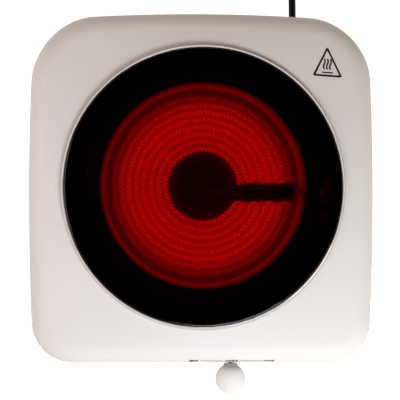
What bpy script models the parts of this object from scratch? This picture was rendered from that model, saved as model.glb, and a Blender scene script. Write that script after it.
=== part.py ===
"""Hot plate burner: a free-standing glass-ceramic hot plate with one radiant heater.

Metres, +Z up, and the front, with the knob, faces -Y. The origin is on the surface that the feet
stand on, under the middle of the object's box without its mains cord. The sub-parts are placed from
the housing's own middle and ride on one empty, which moves them all to that origin.
"""
from math import acos, atan2, cos, hypot, pi, radians, sin, tan

import bmesh
import bpy
from mathutils import Vector

# ---- driving dimensions ------------------------------------------------------------------------
GAP = 0.0003                # between pieces that touch

HOUSING_WIDTH = 0.300
HOUSING_DEPTH = 0.304
FRONT_CORNER = 0.034        # corner radii of the outline
BACK_CORNER = 0.052
SIDE_BULGE = 0.0045         # how far the sides swell outwards at their middle
BACK_BULGE = 0.0065
RIM_Z = 0.020               # lower rim of the housing
EDGE_Z = 0.0610             # top of the rounded edge
TOP_Z = 0.0620              # the seat of the glass
WALL_DRAFT = radians(3)     # the walls lean outwards towards the rim
EDGE_ROUND = 0.016
SHEET = 0.0012              # sheet steel of the housing and the cover
SEAT_WIDTH = 0.010          # the opening's lip under the glass
CORNER_STEPS = 6
SIDE_STEPS = 5

PLINTH_INSET = 0.022        # the plinth stands back from the outline
FOOT_HEIGHT = 0.0057
FLANGE_INSET = 0.0006
FOOT_INSET = 0.048          # the feet's middles stand back from the outline
FOOT_R = 0.011
VENT_COUNT = 6
VENT_LENGTH = 0.060
VENT_WIDTH = 0.004
VENT_PITCH = 0.011

GLASS_R = 0.120
GLASS_THICKNESS = 0.004
GASKET_THICKNESS = 0.0007
GASKET_WIDTH = 0.007
RING_BASE = 0.0029          # width of the trim ring at its foot
RING_TOP = 0.0010           # and at its top
RING_DROP = 0.0003          # the ring ends this far below the glass's face

HEATER_SHIFT_Y = 0.0012     # the heater floats this far behind the glass's middle
DISH_CLEARANCE = 0.0087     # around the dish, inside the opening
DISH_WALL = 0.0008
DISH_Z = 0.031
DISC_THICKNESS = 0.0139
WALL_TOP_WIDTH = 0.0125      # insulation wall, from the dish's outside
WALL_FOOT_WIDTH = 0.0172
RIBBON_TRACKS = 8
RIBBON_FIRST_R = 0.0318
RIBBON_MARGIN = 0.0076      # from the last track to the insulation wall
RIBBON_HEIGHT = 0.005
RIBBON_WIDTH = 0.0007
RIBBON_GAP = 0.0166         # clear width between the hairpin bends
RIBBON_GAP_Y = -0.0053      # middle of that gap, which opens to +X
ROD_R = 0.0028
ROD_Z = 0.0560
ROD_INNER_X = 0.006
SPRING_R = 0.005
SPRING_WIRE = 0.0005
SPRING_TURNS = 3
SPRING_PLACE_R = 0.070
SHIELD_INSET = 0.0053       # the shield is smaller than the dish
SHIELD_Z = 0.0215
SHIELD_THICKNESS = 0.0008

KNOB_X = 0.025
KNOB_Z = 0.040
KNOB_R = 0.0133
KNOB_AHEAD = 0.0135         # ball's middle ahead of the housing's outline
SHAFT_R = 0.003
SLEEVE = 0.0008             # wall of the spring sleeve in the knob
BUSHING_WALL = 0.0014
REGULATOR_WIDTH = 0.036
REGULATOR_HEIGHT = 0.032
REGULATOR_DEPTH = 0.0236
REGULATOR_WALL = 0.002
COVER_THICKNESS = 0.0015
BRACKET_INSET = 0.0096      # regulator's bracket behind the outline
CAM_R = 0.0085              # cam radius under the follower at rest
CAM_RISE = 0.0015           # and its change over half the knob's range
CAM_HALF_TURN = radians(135)
CAM_THICKNESS = 0.005
LEVER_ARM = 0.012
LEVER_WIDTH = 0.004

CORD_R = 0.0031
CORD_X = 0.0818
CORD_Z = 0.0130
GLAND_LENGTH = 0.020        # tapered sleeve outside the plinth
COIL_TURN_R = 0.034         # middle of the coil's section
COIL_COLUMNS = 3
COIL_LAYERS = 2
COIL_BEHIND = 0.080         # coil's middle behind the housing
COIL_LIFT = 0.0012          # the tie passes under the coil
PLUG_TILT = radians(15)     # a round plug lies on its rim and its tail
PLUG_R = 0.018
PLUG_LENGTH = 0.058
PIN_R = 0.0024
PIN_LENGTH = 0.019
PIN_SPACING = 0.019

# ---- what follows from them --------------------------------------------------------------------
HALF_DEPTH = HOUSING_DEPTH / 2
KNOB_Y = -HALF_DEPTH - KNOB_AHEAD
FOOT_X = HOUSING_WIDTH / 2 - FOOT_INSET
FOOT_Y = HALF_DEPTH - FOOT_INSET
OPENING_R = GLASS_R - SEAT_WIDTH
DISH_R = OPENING_R - DISH_CLEARANCE
WALL_INNER_TOP = DISH_R - WALL_TOP_WIDTH
WALL_INNER_FOOT = DISH_R - WALL_FOOT_WIDTH
RIBBON_PITCH = (WALL_INNER_FOOT - RIBBON_MARGIN - RIBBON_FIRST_R) / (RIBBON_TRACKS - 1)
SHIELD_R = DISH_R - SHIELD_INSET
HEAD_X = DISH_R + 0.0012                     # the limiter's head stands against the dish
ROD_Y = HEATER_SHIFT_Y + RIBBON_GAP_Y
BRACKET_Y = -HALF_DEPTH + BRACKET_INSET
MIDDLE_Y = (KNOB_AHEAD + KNOB_R) / 2         # the box reaches from the ball to the back edge
EDGE_INSET = EDGE_ROUND * cos(WALL_DRAFT) + (
    EDGE_Z - EDGE_ROUND + EDGE_ROUND * sin(WALL_DRAFT) - RIM_Z) * tan(WALL_DRAFT)
GLASS_Z = TOP_Z + GAP + GASKET_THICKNESS + GAP
FLOOR_Z = FOOT_HEIGHT + GAP                  # underside of the plinth
FLOOR_TOP = FLOOR_Z + SHEET
INSIDE_Z = FLOOR_TOP + GAP                   # what stands on the plinth's floor starts here
DISC_Z = DISH_Z + DISH_WALL + GAP
RIBBON_Z = DISC_Z + DISC_THICKNESS + GAP
LINING_R = DISH_R - DISH_WALL - GAP          # insulation fits the dish
DISH_TOP = TOP_Z - GAP
CASE_Y = BRACKET_Y + SHEET + GAP
CASE_BACK = CASE_Y + REGULATOR_DEPTH
CASE_Z = KNOB_Z - REGULATOR_HEIGHT / 2
CAM_Y = CASE_Y + REGULATOR_WALL + 0.0050
PIVOT_X = KNOB_X - LEVER_ARM
PIVOT_Z = KNOB_Z + CAM_R + 0.0015
COIL_HALF_WIDTH = CORD_R * COIL_COLUMNS + 0.0002
COIL_OUTER_TURN = COIL_TURN_R + CORD_R * (COIL_COLUMNS - 1)
COIL_X = CORD_X - COIL_OUTER_TURN
COIL_Y = HALF_DEPTH + COIL_BEHIND
COIL_TOP = COIL_LIFT + 2 * CORD_R * COIL_LAYERS + 0.0002

# ---- scene and helpers -------------------------------------------------------------------------
for old in list(bpy.data.objects):
    bpy.data.objects.remove(old, do_unlink=True)

parts = bpy.data.collections.new("hot_plate_burner")
cutters = bpy.data.collections.new("cutters")
for collection in (parts, cutters):
    bpy.context.scene.collection.children.link(collection)


def empty(name, location, parent=None):
    """Make an empty that other objects ride on."""
    holder = bpy.data.objects.new(name, None)
    holder.location = location
    holder.parent = parent
    parts.objects.link(holder)
    return holder


body = empty("housing_middle", (0, MIDDLE_Y, 0))
knob_axis = empty("knob_axis", (KNOB_X, KNOB_Y, KNOB_Z), body)


def material(name, colour, roughness, metallic=0.0):
    """Make one Principled material."""
    made = bpy.data.materials.new(name)
    made.use_nodes = True
    shader = made.node_tree.nodes["Principled BSDF"]
    shader.inputs["Base Color"].default_value = (*colour, 1)
    shader.inputs["Roughness"].default_value = roughness
    shader.inputs["Metallic"].default_value = metallic
    made.diffuse_color = (*colour, 1)
    return made


WHITE_ENAMEL = material("white_enamel", (0.80, 0.79, 0.77), 0.35)
DARK_ENAMEL = material("dark_enamel", (0.06, 0.06, 0.06), 0.5)
POLISHED_STEEL = material("polished_steel", (0.75, 0.75, 0.74), 0.15, 1.0)
ZINC_STEEL = material("zinc_steel", (0.62, 0.62, 0.60), 0.35, 1.0)
BLACK_GLASS = material("black_glass_ceramic", (0.02, 0.005, 0.005), 0.06)
SILICONE = material("black_silicone", (0.03, 0.03, 0.03), 0.7)
INSULATION = material("pressed_insulation", (0.72, 0.66, 0.55), 0.95)
RIBBON_ALLOY = material("ribbon_alloy", (0.75, 0.20, 0.06), 0.5, 0.6)
QUARTZ = material("quartz", (0.80, 0.78, 0.74), 0.2)
STEATITE = material("steatite", (0.78, 0.74, 0.66), 0.6)
PHENOLIC = material("phenolic", (0.10, 0.07, 0.05), 0.5)
BRASS = material("brass", (0.70, 0.52, 0.25), 0.3, 1.0)
WHITE_PLASTIC = material("white_plastic", (0.86, 0.85, 0.83), 0.12)
RUBBER = material("rubber", (0.05, 0.05, 0.05), 0.8)
BLACK_PVC = material("black_pvc", (0.02, 0.02, 0.02), 0.5)
WIRE_RED = material("wire_brown", (0.25, 0.09, 0.04), 0.5)
WIRE_BLUE = material("wire_blue", (0.04, 0.12, 0.45), 0.5)
WIRE_GREEN = material("wire_green_yellow", (0.30, 0.45, 0.05), 0.5)


def add(name, data, finish, location=(0, 0, 0), rotation=(0, 0, 0), parent=body):
    """Put a mesh or curve in the parts collection as a named sub-part."""
    made = bpy.data.objects.new(name, data)
    made.location = location
    made.rotation_euler = rotation
    made.parent = parent
    data.materials.append(finish)
    parts.objects.link(made)
    return made


def smooth(data):
    """Shade a round mesh smooth with its corners kept sharp."""
    data.shade_smooth()
    data.set_sharp_from_angle(angle=radians(40))
    return data


def mesh_of(bm, name):
    """Turn a bmesh into mesh data."""
    bmesh.ops.recalc_face_normals(bm, faces=bm.faces)
    data = bpy.data.meshes.new(name)
    bm.to_mesh(data)
    bm.free()
    return data


ALONG_Y = (radians(-90), 0, 0)      # a turned piece's own +Z points to +Y
FACING_FRONT = (radians(90), 0, 0)  # a flat outline's +Y points up


def box_mesh(name, size):
    """Make a box of the given size around its own middle."""
    bm = bmesh.new()
    bmesh.ops.create_cube(bm, size=1)
    bmesh.ops.scale(bm, vec=size, verts=bm.verts)
    return mesh_of(bm, name)


def box(name, low, high, finish, bevel=0.0, parent=body):
    """Make a box between two corners, with its edges rounded if bevel is set."""
    size = [b - a for a, b in zip(low, high)]
    middle = [(a + b) / 2 for a, b in zip(low, high)]
    made = add(name, box_mesh(name, size), finish, middle, parent=parent)
    if bevel:
        rounding = made.modifiers.new("rounding", "BEVEL")
        rounding.width = bevel
        rounding.segments = 2
    return made


def rod_mesh(name, radius, length, sides, top_radius=None):
    """Make a cylinder, or a cone, from z 0 to z length."""
    bm = bmesh.new()
    bmesh.ops.create_cone(bm, cap_ends=True, segments=sides, radius1=radius,
                          radius2=radius if top_radius is None else top_radius, depth=length)
    bmesh.ops.translate(bm, vec=(0, 0, length / 2), verts=bm.verts)
    return smooth(mesh_of(bm, name))


def turned(name, profile, finish, sides, location=(0, 0, 0), rotation=(0, 0, 0), parent=body):
    """Turn a profile of (radius, height) points, which runs down its outer side, about Z."""
    data = bpy.data.meshes.new(name)
    closed = profile[0][0] > 0
    edges = [(i, i + 1) for i in range(len(profile) - 1)]
    if closed:
        edges.append((len(profile) - 1, 0))
    data.from_pydata([(r, 0, z) for r, z in profile], edges, [])
    made = add(name, data, finish, location, rotation, parent)
    screw = made.modifiers.new("turning", "SCREW")
    screw.steps = sides
    screw.render_steps = sides
    screw.use_merge_vertices = True
    screw.merge_threshold = 0.00001
    screw.use_smooth_shade = True
    return made


def ring(name, inner, outer, low, high, finish, sides, **place):
    """Turn a plain rectangular ring."""
    return turned(name, [(outer, high), (outer, low), (inner, low), (inner, high)],
                  finish, sides, **place)


def cut(target, name, data, location=(0, 0, 0), rotation=(0, 0, 0), parent=body):
    """Cut a hole through target with a hidden cutter."""
    cutter = bpy.data.objects.new(name, data)
    cutter.location = location
    cutter.rotation_euler = rotation
    cutter.parent = parent
    cutter.hide_render = True
    cutter.display_type = "WIRE"
    cutters.objects.link(cutter)
    hole = target.modifiers.new(name, "BOOLEAN")
    hole.operation = "DIFFERENCE"
    hole.object = cutter


def cut_hole(target, name, radius, start, length, sides=16, rotation=(0, 0, 0)):
    """Drill a round hole of the given length from start, along +Z or as rotated."""
    cut(target, name, rod_mesh(name, radius, length, sides), start, rotation)


def tube(name, points, radius, finish, resolution=2):
    """Run a round tube with closed ends along a list of points."""
    curve = bpy.data.curves.new(name, "CURVE")
    curve.dimensions = "3D"
    curve.bevel_depth = radius
    curve.bevel_resolution = resolution
    curve.use_fill_caps = True
    spline = curve.splines.new("POLY")
    spline.points.add(len(points) - 1)
    for place, point in zip(spline.points, points):
        place.co = (*point, 1)
    spline.use_smooth = True
    return add(name, curve, finish)


def through(route, steps):
    """Read a smooth curve through the route's points, steps to each stretch.

    At each point the curve heads along the line between the point's two neighbours.
    """
    knots = [Vector(point) for point in route]
    last = len(knots) - 1
    heads = [(knots[min(i + 1, last)] - knots[max(i - 1, 0)]).normalized() for i in range(last + 1)]
    points = []
    for i in range(last):
        here, there = knots[i], knots[i + 1]
        span = (there - here).length
        for k in range(steps):
            t = k / steps
            points.append(here * (2 * t ** 3 - 3 * t ** 2 + 1) + there * (3 * t ** 2 - 2 * t ** 3)
                          + heads[i] * span * (t ** 3 - 2 * t ** 2 + t)
                          + heads[i + 1] * span * (t ** 3 - t ** 2))
    points.append(knots[-1])
    return points


def flat(name, outlines, thickness, finish, location=(0, 0, 0), rotation=(0, 0, 0), parent=body):
    """Cut a flat plate from closed outlines; inner outlines are holes."""
    curve = bpy.data.curves.new(name, "CURVE")
    curve.dimensions = "2D"
    curve.fill_mode = "BOTH"
    curve.extrude = thickness / 2
    for outline in outlines:
        spline = curve.splines.new("POLY")
        spline.points.add(len(outline) - 1)
        for place, (x, y) in zip(spline.points, outline):
            place.co = (x, y, 0, 1)
        spline.use_cyclic_u = True
    return add(name, curve, finish, location, rotation, parent)


def circle(radius, sides, middle=(0, 0)):
    """Points of a circle, for an outline."""
    return [(middle[0] + radius * cos(2 * pi * i / sides),
             middle[1] + radius * sin(2 * pi * i / sides)) for i in range(sides)]


# ---- housing and bottom cover ------------------------------------------------------------------
def housing_outline(inset):
    """The housing's outline in plan, moved inwards by inset: a rounded square with full sides.

    Each side swells by its bulge at its middle and by nothing at its corners.
    """
    half_x = HOUSING_WIDTH / 2 - SIDE_BULGE - inset
    reach = {1: HALF_DEPTH - BACK_BULGE - inset, -1: HALF_DEPTH - inset}
    radius = {1: max(BACK_CORNER - inset, 0.006), -1: max(FRONT_CORNER - inset, 0.006)}
    corners = [(1, 1, 0), (-1, 1, 90), (-1, -1, 180), (1, -1, 270)]
    square = []
    for index, (side_x, side_y, start) in enumerate(corners):
        r = radius[side_y]
        cx = side_x * (half_x - r)
        cy = side_y * (reach[side_y] - r)
        for k in range(CORNER_STEPS + 1):
            angle = radians(start + 90 * k / CORNER_STEPS)
            square.append((cx + r * cos(angle), cy + r * sin(angle)))
        next_x, next_y, next_start = corners[(index + 1) % 4]
        nr = radius[next_y]
        end_angle = radians(next_start)
        end = (next_x * (half_x - nr) + nr * cos(end_angle),
               next_y * (reach[next_y] - nr) + nr * sin(end_angle))
        begin = square[-1]
        for k in range(1, SIDE_STEPS):
            t = k / SIDE_STEPS
            square.append((begin[0] + (end[0] - begin[0]) * t, begin[1] + (end[1] - begin[1]) * t))
    return [bulged(x, y, half_x, reach) for x, y in square]


def bulged(x, y, half_x, reach):
    """Move a point of the plain rounded square outwards by the bulge of its side."""
    along = reach[1] if y > 0 else reach[-1]
    side = SIDE_BULGE * (x / half_x) * (1 - (y / along) ** 2)
    back = BACK_BULGE * max(y / reach[1], 0) * (1 - (x / half_x) ** 2)
    return x + side, y + back


def back_edge_y(x, inset):
    """Where the back of the outline lies at x, between its corners."""
    half_x = HOUSING_WIDTH / 2 - SIDE_BULGE - inset
    return HALF_DEPTH - BACK_BULGE - inset + BACK_BULGE * (1 - (x / half_x) ** 2)


def loft(name, rings, finish, capped=False):
    """Skin a list of rings of points that match one to one, and close the last one if capped."""
    count = len(rings[0])
    points = [p for one in rings for p in one]
    faces = []
    for level in range(len(rings) - 1):
        for i in range(count):
            j = (i + 1) % count
            faces.append((level * count + i, level * count + j,
                          (level + 1) * count + j, (level + 1) * count + i))
    if capped:
        faces.append([(len(rings) - 1) * count + i for i in range(count)])
    data = bpy.data.meshes.new(name)
    data.from_pydata(points, [], faces)
    return add(name, smooth(data), finish)


def sheet_metal(target, offset):
    """Give an open surface the thickness of the sheet, on the side that offset says."""
    wall = target.modifiers.new("sheet", "SOLIDIFY")
    wall.thickness = SHEET
    wall.offset = offset
    wall.use_even_offset = True


def at_height(outline, z):
    """Lift a plan outline to z."""
    return [(x, y, z) for x, y in outline]


def towards(outline, radius, z):
    """A circle whose points lie in the directions of the outline's points."""
    return [(radius * x / hypot(x, y), radius * y / hypot(x, y), z) for x, y in outline]


def make_housing():
    """Press the top housing: leaning walls, a rounded edge and a flat top with a round opening."""
    edge = housing_outline(EDGE_INSET)
    rings = [at_height(housing_outline(0), RIM_Z)]
    for k in range(4):
        angle = WALL_DRAFT + (pi / 2 - WALL_DRAFT) * k / 4
        inset = EDGE_INSET - EDGE_ROUND * cos(angle)
        height = EDGE_Z - EDGE_ROUND + EDGE_ROUND * sin(angle)
        rings.append(at_height(housing_outline(inset), height))
    rings.append(at_height(edge, EDGE_Z))
    rings.append(towards(edge, GLASS_R + RING_BASE + 0.001, TOP_Z))
    rings.append(towards(edge, OPENING_R, TOP_Z))
    housing = loft("top_housing", rings, WHITE_ENAMEL)
    sheet_metal(housing, -1)
    cut_hole(housing, "shaft_opening", SHAFT_R + BUSHING_WALL + 0.0016,
             (KNOB_X, KNOB_Y, KNOB_Z), KNOB_AHEAD + 0.010, rotation=ALONG_Y)


def foot_places():
    """Plan positions of the four feet, their screws and the posts over them."""
    return [(sx * FOOT_X, sy * FOOT_Y) for sy in (-1, 1) for sx in (-1, 1)]


def make_cover():
    """Press the bottom cover: a flange under the housing's rim and a plinth pan with vents."""
    flange_z = RIM_Z - GAP - SHEET
    rings = [at_height(housing_outline(FLANGE_INSET), flange_z),
             at_height(housing_outline(PLINTH_INSET), flange_z),
             at_height(housing_outline(PLINTH_INSET), FLOOR_Z)]
    cover = loft("bottom_cover", rings, DARK_ENAMEL, capped=True)
    cover.data.flip_normals()
    sheet_metal(cover, -1)
    for index, (x, y) in enumerate(foot_places()):
        cut_hole(cover, f"foot_hole_{index}", 0.0025, (x, y, FLOOR_Z - 0.002), 0.006, sides=12)
    cut_hole(cover, "gland_hole", 0.0045 + GAP,
             (CORD_X, back_edge_y(CORD_X, PLINTH_INSET) - 0.006, CORD_Z), 0.012, rotation=ALONG_Y)
    for index in range(VENT_COUNT):
        y = (index - (VENT_COUNT - 1) / 2) * VENT_PITCH
        cut(cover, f"vent_{index}", box_mesh("vent", (VENT_LENGTH, VENT_WIDTH, 0.006)),
            (0, y, FLOOR_Z))


def make_feet():
    """Rubber feet with a screw through each, and the threaded posts that the screws pull on."""
    post_top = EDGE_Z - SHEET - GAP
    ledge = 0.003
    for index, (x, y) in enumerate(foot_places(), start=1):
        turned(f"foot_{index}",
               [(FOOT_R, FOOT_HEIGHT), (FOOT_R - 0.001, 0), (0.0045, 0), (0.0045, ledge),
                (0.0025, ledge), (0.0025, FOOT_HEIGHT)], RUBBER, 16, location=(x, y, 0))
        turned(f"foot_screw_{index}",
               [(0, 0.018), (0.0018, 0.018), (0.0018, ledge - GAP), (0.0040, ledge - GAP),
                (0.0036, 0.0008), (0, 0.0008)], ZINC_STEEL, 10, location=(x, y, 0))
        post = add(f"support_post_{index}", rod_mesh("post", 0.004, post_top - INSIDE_Z, 12),
                   ZINC_STEEL, (x, y, INSIDE_Z))
        cut_hole(post, f"post_thread_{index}", 0.0021, (x, y, INSIDE_Z - 0.001), 0.014, sides=10)


# ---- glass and its ring ------------------------------------------------------------------------
def make_glass():
    """The glass-ceramic plate on its gasket, inside a trim ring with a sloping outer side."""
    chamfer = 0.0006
    top = GLASS_Z + GLASS_THICKNESS
    turned("glass_plate",
           [(0, top), (GLASS_R - chamfer, top), (GLASS_R, top - chamfer), (GLASS_R, GLASS_Z),
            (0, GLASS_Z)], BLACK_GLASS, 64)
    ring("glass_gasket", GLASS_R - 0.001 - GASKET_WIDTH, GLASS_R - 0.001, TOP_Z + GAP,
         TOP_Z + GAP + GASKET_THICKNESS, SILICONE, 48)
    inner = GLASS_R + GAP
    ring_top = top - RING_DROP
    turned("trim_ring",
           [(inner + RING_TOP, ring_top), (inner + RING_BASE * 0.7, ring_top - 0.0017),
            (inner + RING_BASE, TOP_Z + GAP), (inner, TOP_Z + GAP), (inner, ring_top)],
           POLISHED_STEEL, 64)


# ---- heater ------------------------------------------------------------------------------------
def ribbon_path():
    """The ribbon's run: tracks joined by hairpin bends on both sides of a gap towards +X.

    Track 1 and the last one have their free ends on the back side of the gap, and both run on
    to the wall of the insulation, where the terminals are.
    """
    half = RIBBON_GAP / 2
    back_y = RIBBON_GAP_Y + half
    front_y = RIBBON_GAP_Y - half
    end_x = WALL_INNER_FOOT - 0.0035
    path = [(end_x, back_y - 0.0045), (RIBBON_FIRST_R + 0.001, back_y - 0.0045)]
    for track in range(RIBBON_TRACKS):
        radius = RIBBON_FIRST_R + track * RIBBON_PITCH
        bend = RIBBON_PITCH / 2
        first = atan2(back_y + bend, (radius ** 2 - (back_y + bend) ** 2) ** 0.5)
        last = 2 * pi + atan2(front_y - bend, (radius ** 2 - (front_y - bend) ** 2) ** 0.5)
        steps = 16 + track
        arc = [(radius * cos(first + (last - first) * k / steps),
                radius * sin(first + (last - first) * k / steps)) for k in range(steps + 1)]
        outward = track % 2 == 0
        path += arc if outward else arc[::-1]
        if track < RIBBON_TRACKS - 1:
            next_radius = radius + RIBBON_PITCH
            y = front_y if outward else back_y
            lean = -bend if outward else bend
            start_x = (radius ** 2 - (y + lean) ** 2) ** 0.5
            end_x2 = (next_radius ** 2 - (y + lean) ** 2) ** 0.5
            middle = (start_x + end_x2) / 2
            path += [(start_x + 0.0008, y + lean * 0.3), (middle, y),
                     (end_x2 - 0.0008, y + lean * 0.3)]
    path += [(end_x, back_y + 0.0030)]
    return path


def make_ribbon():
    """The heating ribbon, a thin strip standing on edge on the insulation."""
    bm = bmesh.new()
    low = [bm.verts.new((x, y, 0)) for x, y in ribbon_path()]
    edges = [bm.edges.new(pair) for pair in zip(low[:-1], low[1:])]
    grown = bmesh.ops.extrude_edge_only(bm, edges=edges)["geom"]
    high = [item for item in grown if isinstance(item, bmesh.types.BMVert)]
    bmesh.ops.translate(bm, vec=(0, 0, RIBBON_HEIGHT), verts=high)
    ribbon = add("heating_ribbon", mesh_of(bm, "heating_ribbon"), RIBBON_ALLOY,
                 (0, HEATER_SHIFT_Y, RIBBON_Z))
    wall = ribbon.modifiers.new("strip", "SOLIDIFY")
    wall.thickness = RIBBON_WIDTH
    wall.offset = 0
    wall.use_even_offset = True


def make_heater():
    """The heater: steel dish, pressed insulation, ribbon, and the rod of its temperature limiter."""
    middle = (0, HEATER_SHIFT_Y, 0)
    inner = DISH_R - DISH_WALL
    dish = turned("heater_dish",
                  [(0, DISH_Z + DISH_WALL), (inner, DISH_Z + DISH_WALL), (inner, DISH_TOP),
                   (DISH_R, DISH_TOP), (DISH_R, DISH_Z), (0, DISH_Z)], ZINC_STEEL, 48,
                  location=middle)
    turned("insulation_disc",
           [(0, DISC_Z + DISC_THICKNESS), (LINING_R, DISC_Z + DISC_THICKNESS),
            (LINING_R, DISC_Z), (0, DISC_Z)], INSULATION, 48, location=middle)
    wall_top = GLASS_Z - GAP
    wall = turned("insulation_wall",
                  [(LINING_R, wall_top), (LINING_R, RIBBON_Z), (WALL_INNER_FOOT, RIBBON_Z),
                   (WALL_INNER_TOP, wall_top)], INSULATION, 48, location=middle)
    make_ribbon()

    along_x = (0, radians(90), 0)
    for name, target in (("wall_rod_hole", wall), ("dish_rod_hole", dish)):
        cut_hole(target, name, ROD_R + 0.0006, (WALL_INNER_FOOT - 0.005, ROD_Y, ROD_Z), 0.030,
                 sides=12, rotation=along_x)
    add("limiter_rod", rod_mesh("limiter_rod", ROD_R, HEAD_X - GAP - ROD_INNER_X, 12), QUARTZ,
        (ROD_INNER_X, ROD_Y, ROD_Z), along_x)
    box("limiter_head", (HEAD_X, ROD_Y - 0.011, ROD_Z - 0.009),
        (HEAD_X + 0.022, ROD_Y + 0.011, ROD_Z + 0.004), STEATITE, bevel=0.001)
    box("heater_terminal_block", (HEAD_X, ROD_Y - 0.032, DISH_Z + 0.003),
        (HEAD_X + 0.012, ROD_Y - 0.016, DISH_Z + 0.017), STEATITE, bevel=0.0008)


def make_heater_support():
    """The springs that press the dish up to the glass, on a shield over a crossbar."""
    turned("heat_shield",
           [(0, SHIELD_Z + SHIELD_THICKNESS), (SHIELD_R, SHIELD_Z + SHIELD_THICKNESS),
            (SHIELD_R, SHIELD_Z), (0, SHIELD_Z)], ZINC_STEEL, 48)
    top = SHIELD_Z - GAP
    half, leg, toe = SHIELD_R - 0.006, SHEET, 0.012
    hat = [(-half - toe, INSIDE_Z), (-half + leg, INSIDE_Z), (-half + leg, top - leg),
           (half - leg, top - leg), (half - leg, INSIDE_Z), (half + toe, INSIDE_Z),
           (half + toe, INSIDE_Z + leg), (half, INSIDE_Z + leg), (half, top), (-half, top),
           (-half, INSIDE_Z + leg), (-half - toe, INSIDE_Z + leg)]
    flat("heater_crossbar", [hat], 0.020, ZINC_STEEL, rotation=FACING_FRONT)
    low = SHIELD_Z + SHIELD_THICKNESS + GAP + SPRING_WIRE
    rise = DISH_Z - GAP - SPRING_WIRE - low
    per_turn = 9
    for index in range(3):
        around = radians(30 + 120 * index)
        cx = SPRING_PLACE_R * cos(around)
        cy = SPRING_PLACE_R * sin(around)
        count = SPRING_TURNS * per_turn
        helix = [(cx + SPRING_R * cos(2 * pi * k / per_turn),
                  cy + SPRING_R * sin(2 * pi * k / per_turn), low + rise * k / count)
                 for k in range(count + 1)]
        tube(f"heater_spring_{index + 1}", helix, SPRING_WIRE, ZINC_STEEL, resolution=1)


# ---- knob and regulator ------------------------------------------------------------------------
def front_wall_y(z):
    """Outer face of the leaning front wall at height z."""
    return -HALF_DEPTH + (z - RIM_Z) * tan(WALL_DRAFT)


def make_knob():
    """What turns: the ball knob with its neck and spring sleeve, the shaft and the cam on it."""
    neck_r = 0.006
    neck_end = front_wall_y(KNOB_Z - neck_r) - 2 * GAP - KNOB_Y
    bore = SHAFT_R + GAP + SLEEVE + GAP
    bore_end = 0.002
    start = pi / 2 - acos(neck_r / KNOB_R)
    ball = [(KNOB_R * sin(start + (pi - start) * k / 14), KNOB_R * cos(start + (pi - start) * k / 14))
            for k in range(14)]
    turned("knob", [(0, bore_end), (bore, bore_end), (bore, neck_end), (neck_r, neck_end), *ball,
                    (0, -KNOB_R)], WHITE_PLASTIC, 28, rotation=ALONG_Y, parent=knob_axis)
    ring("knob_sleeve", SHAFT_R + GAP, SHAFT_R + GAP + SLEEVE, bore_end + GAP, neck_end - 0.001,
         ZINC_STEEL, 16, rotation=ALONG_Y, parent=knob_axis)
    shaft_start = bore_end + 0.001
    shaft_end = CASE_BACK - 0.002 - KNOB_Y
    add("regulator_shaft", rod_mesh("regulator_shaft", SHAFT_R, shaft_end - shaft_start, 16),
        ZINC_STEEL, (0, shaft_start, 0), ALONG_Y, knob_axis)
    flat("control_cam", [cam_outline(), circle(SHAFT_R + GAP, 16)], CAM_THICKNESS, PHENOLIC,
         (0, CAM_Y + CAM_THICKNESS / 2 - KNOB_Y, 0), FACING_FRONT, knob_axis)


def cam_outline():
    """The cam's edge: its radius changes evenly with angle, then drops back at the bottom."""
    reach = radians(150)
    points = []
    for k in range(31):
        turn = -reach + 2 * reach * k / 30
        points.append((CAM_R - CAM_RISE * turn / CAM_HALF_TURN, turn))
    first, last = points[0][0], points[-1][0]
    for k in range(1, 5):
        t = k / 5
        points.append((last + (first - last) * t, reach + 2 * (pi - reach) * t))
    return [(r * sin(turn), r * cos(turn)) for r, turn in points]


def make_follower():
    """The follower lever over the cam, and the pin that it rocks on."""
    pin_r = 0.0011
    hub_r = 0.0022
    hub = [(hub_r * cos(radians(90 + 20 * k)), hub_r * sin(radians(90 + 20 * k))) for k in range(10)]
    lean = CAM_R + 0.0004 - (PIVOT_Z - KNOB_Z)
    arm = [(0.005, -0.0002), (LEVER_ARM - 0.0015, -0.0002), (LEVER_ARM - 0.0008, lean + 0.0002),
           (LEVER_ARM, lean), (LEVER_ARM + 0.0008, lean + 0.0002), (LEVER_ARM + 0.0015, -0.0002),
           (LEVER_ARM + 0.004, -0.0002), (LEVER_ARM + 0.004, 0.0015), (0.003, hub_r)]
    middle_y = CAM_Y + CAM_THICKNESS / 2
    flat("follower_lever", [hub + arm, circle(pin_r + GAP, 12)], LEVER_WIDTH, BRASS,
         (PIVOT_X, middle_y, PIVOT_Z), FACING_FRONT)
    start = CASE_Y + REGULATOR_WALL + GAP
    add("follower_pin", rod_mesh("follower_pin", pin_r, CASE_BACK - start, 12), ZINC_STEEL,
        (PIVOT_X, start, PIVOT_Z), ALONG_Y)


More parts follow.
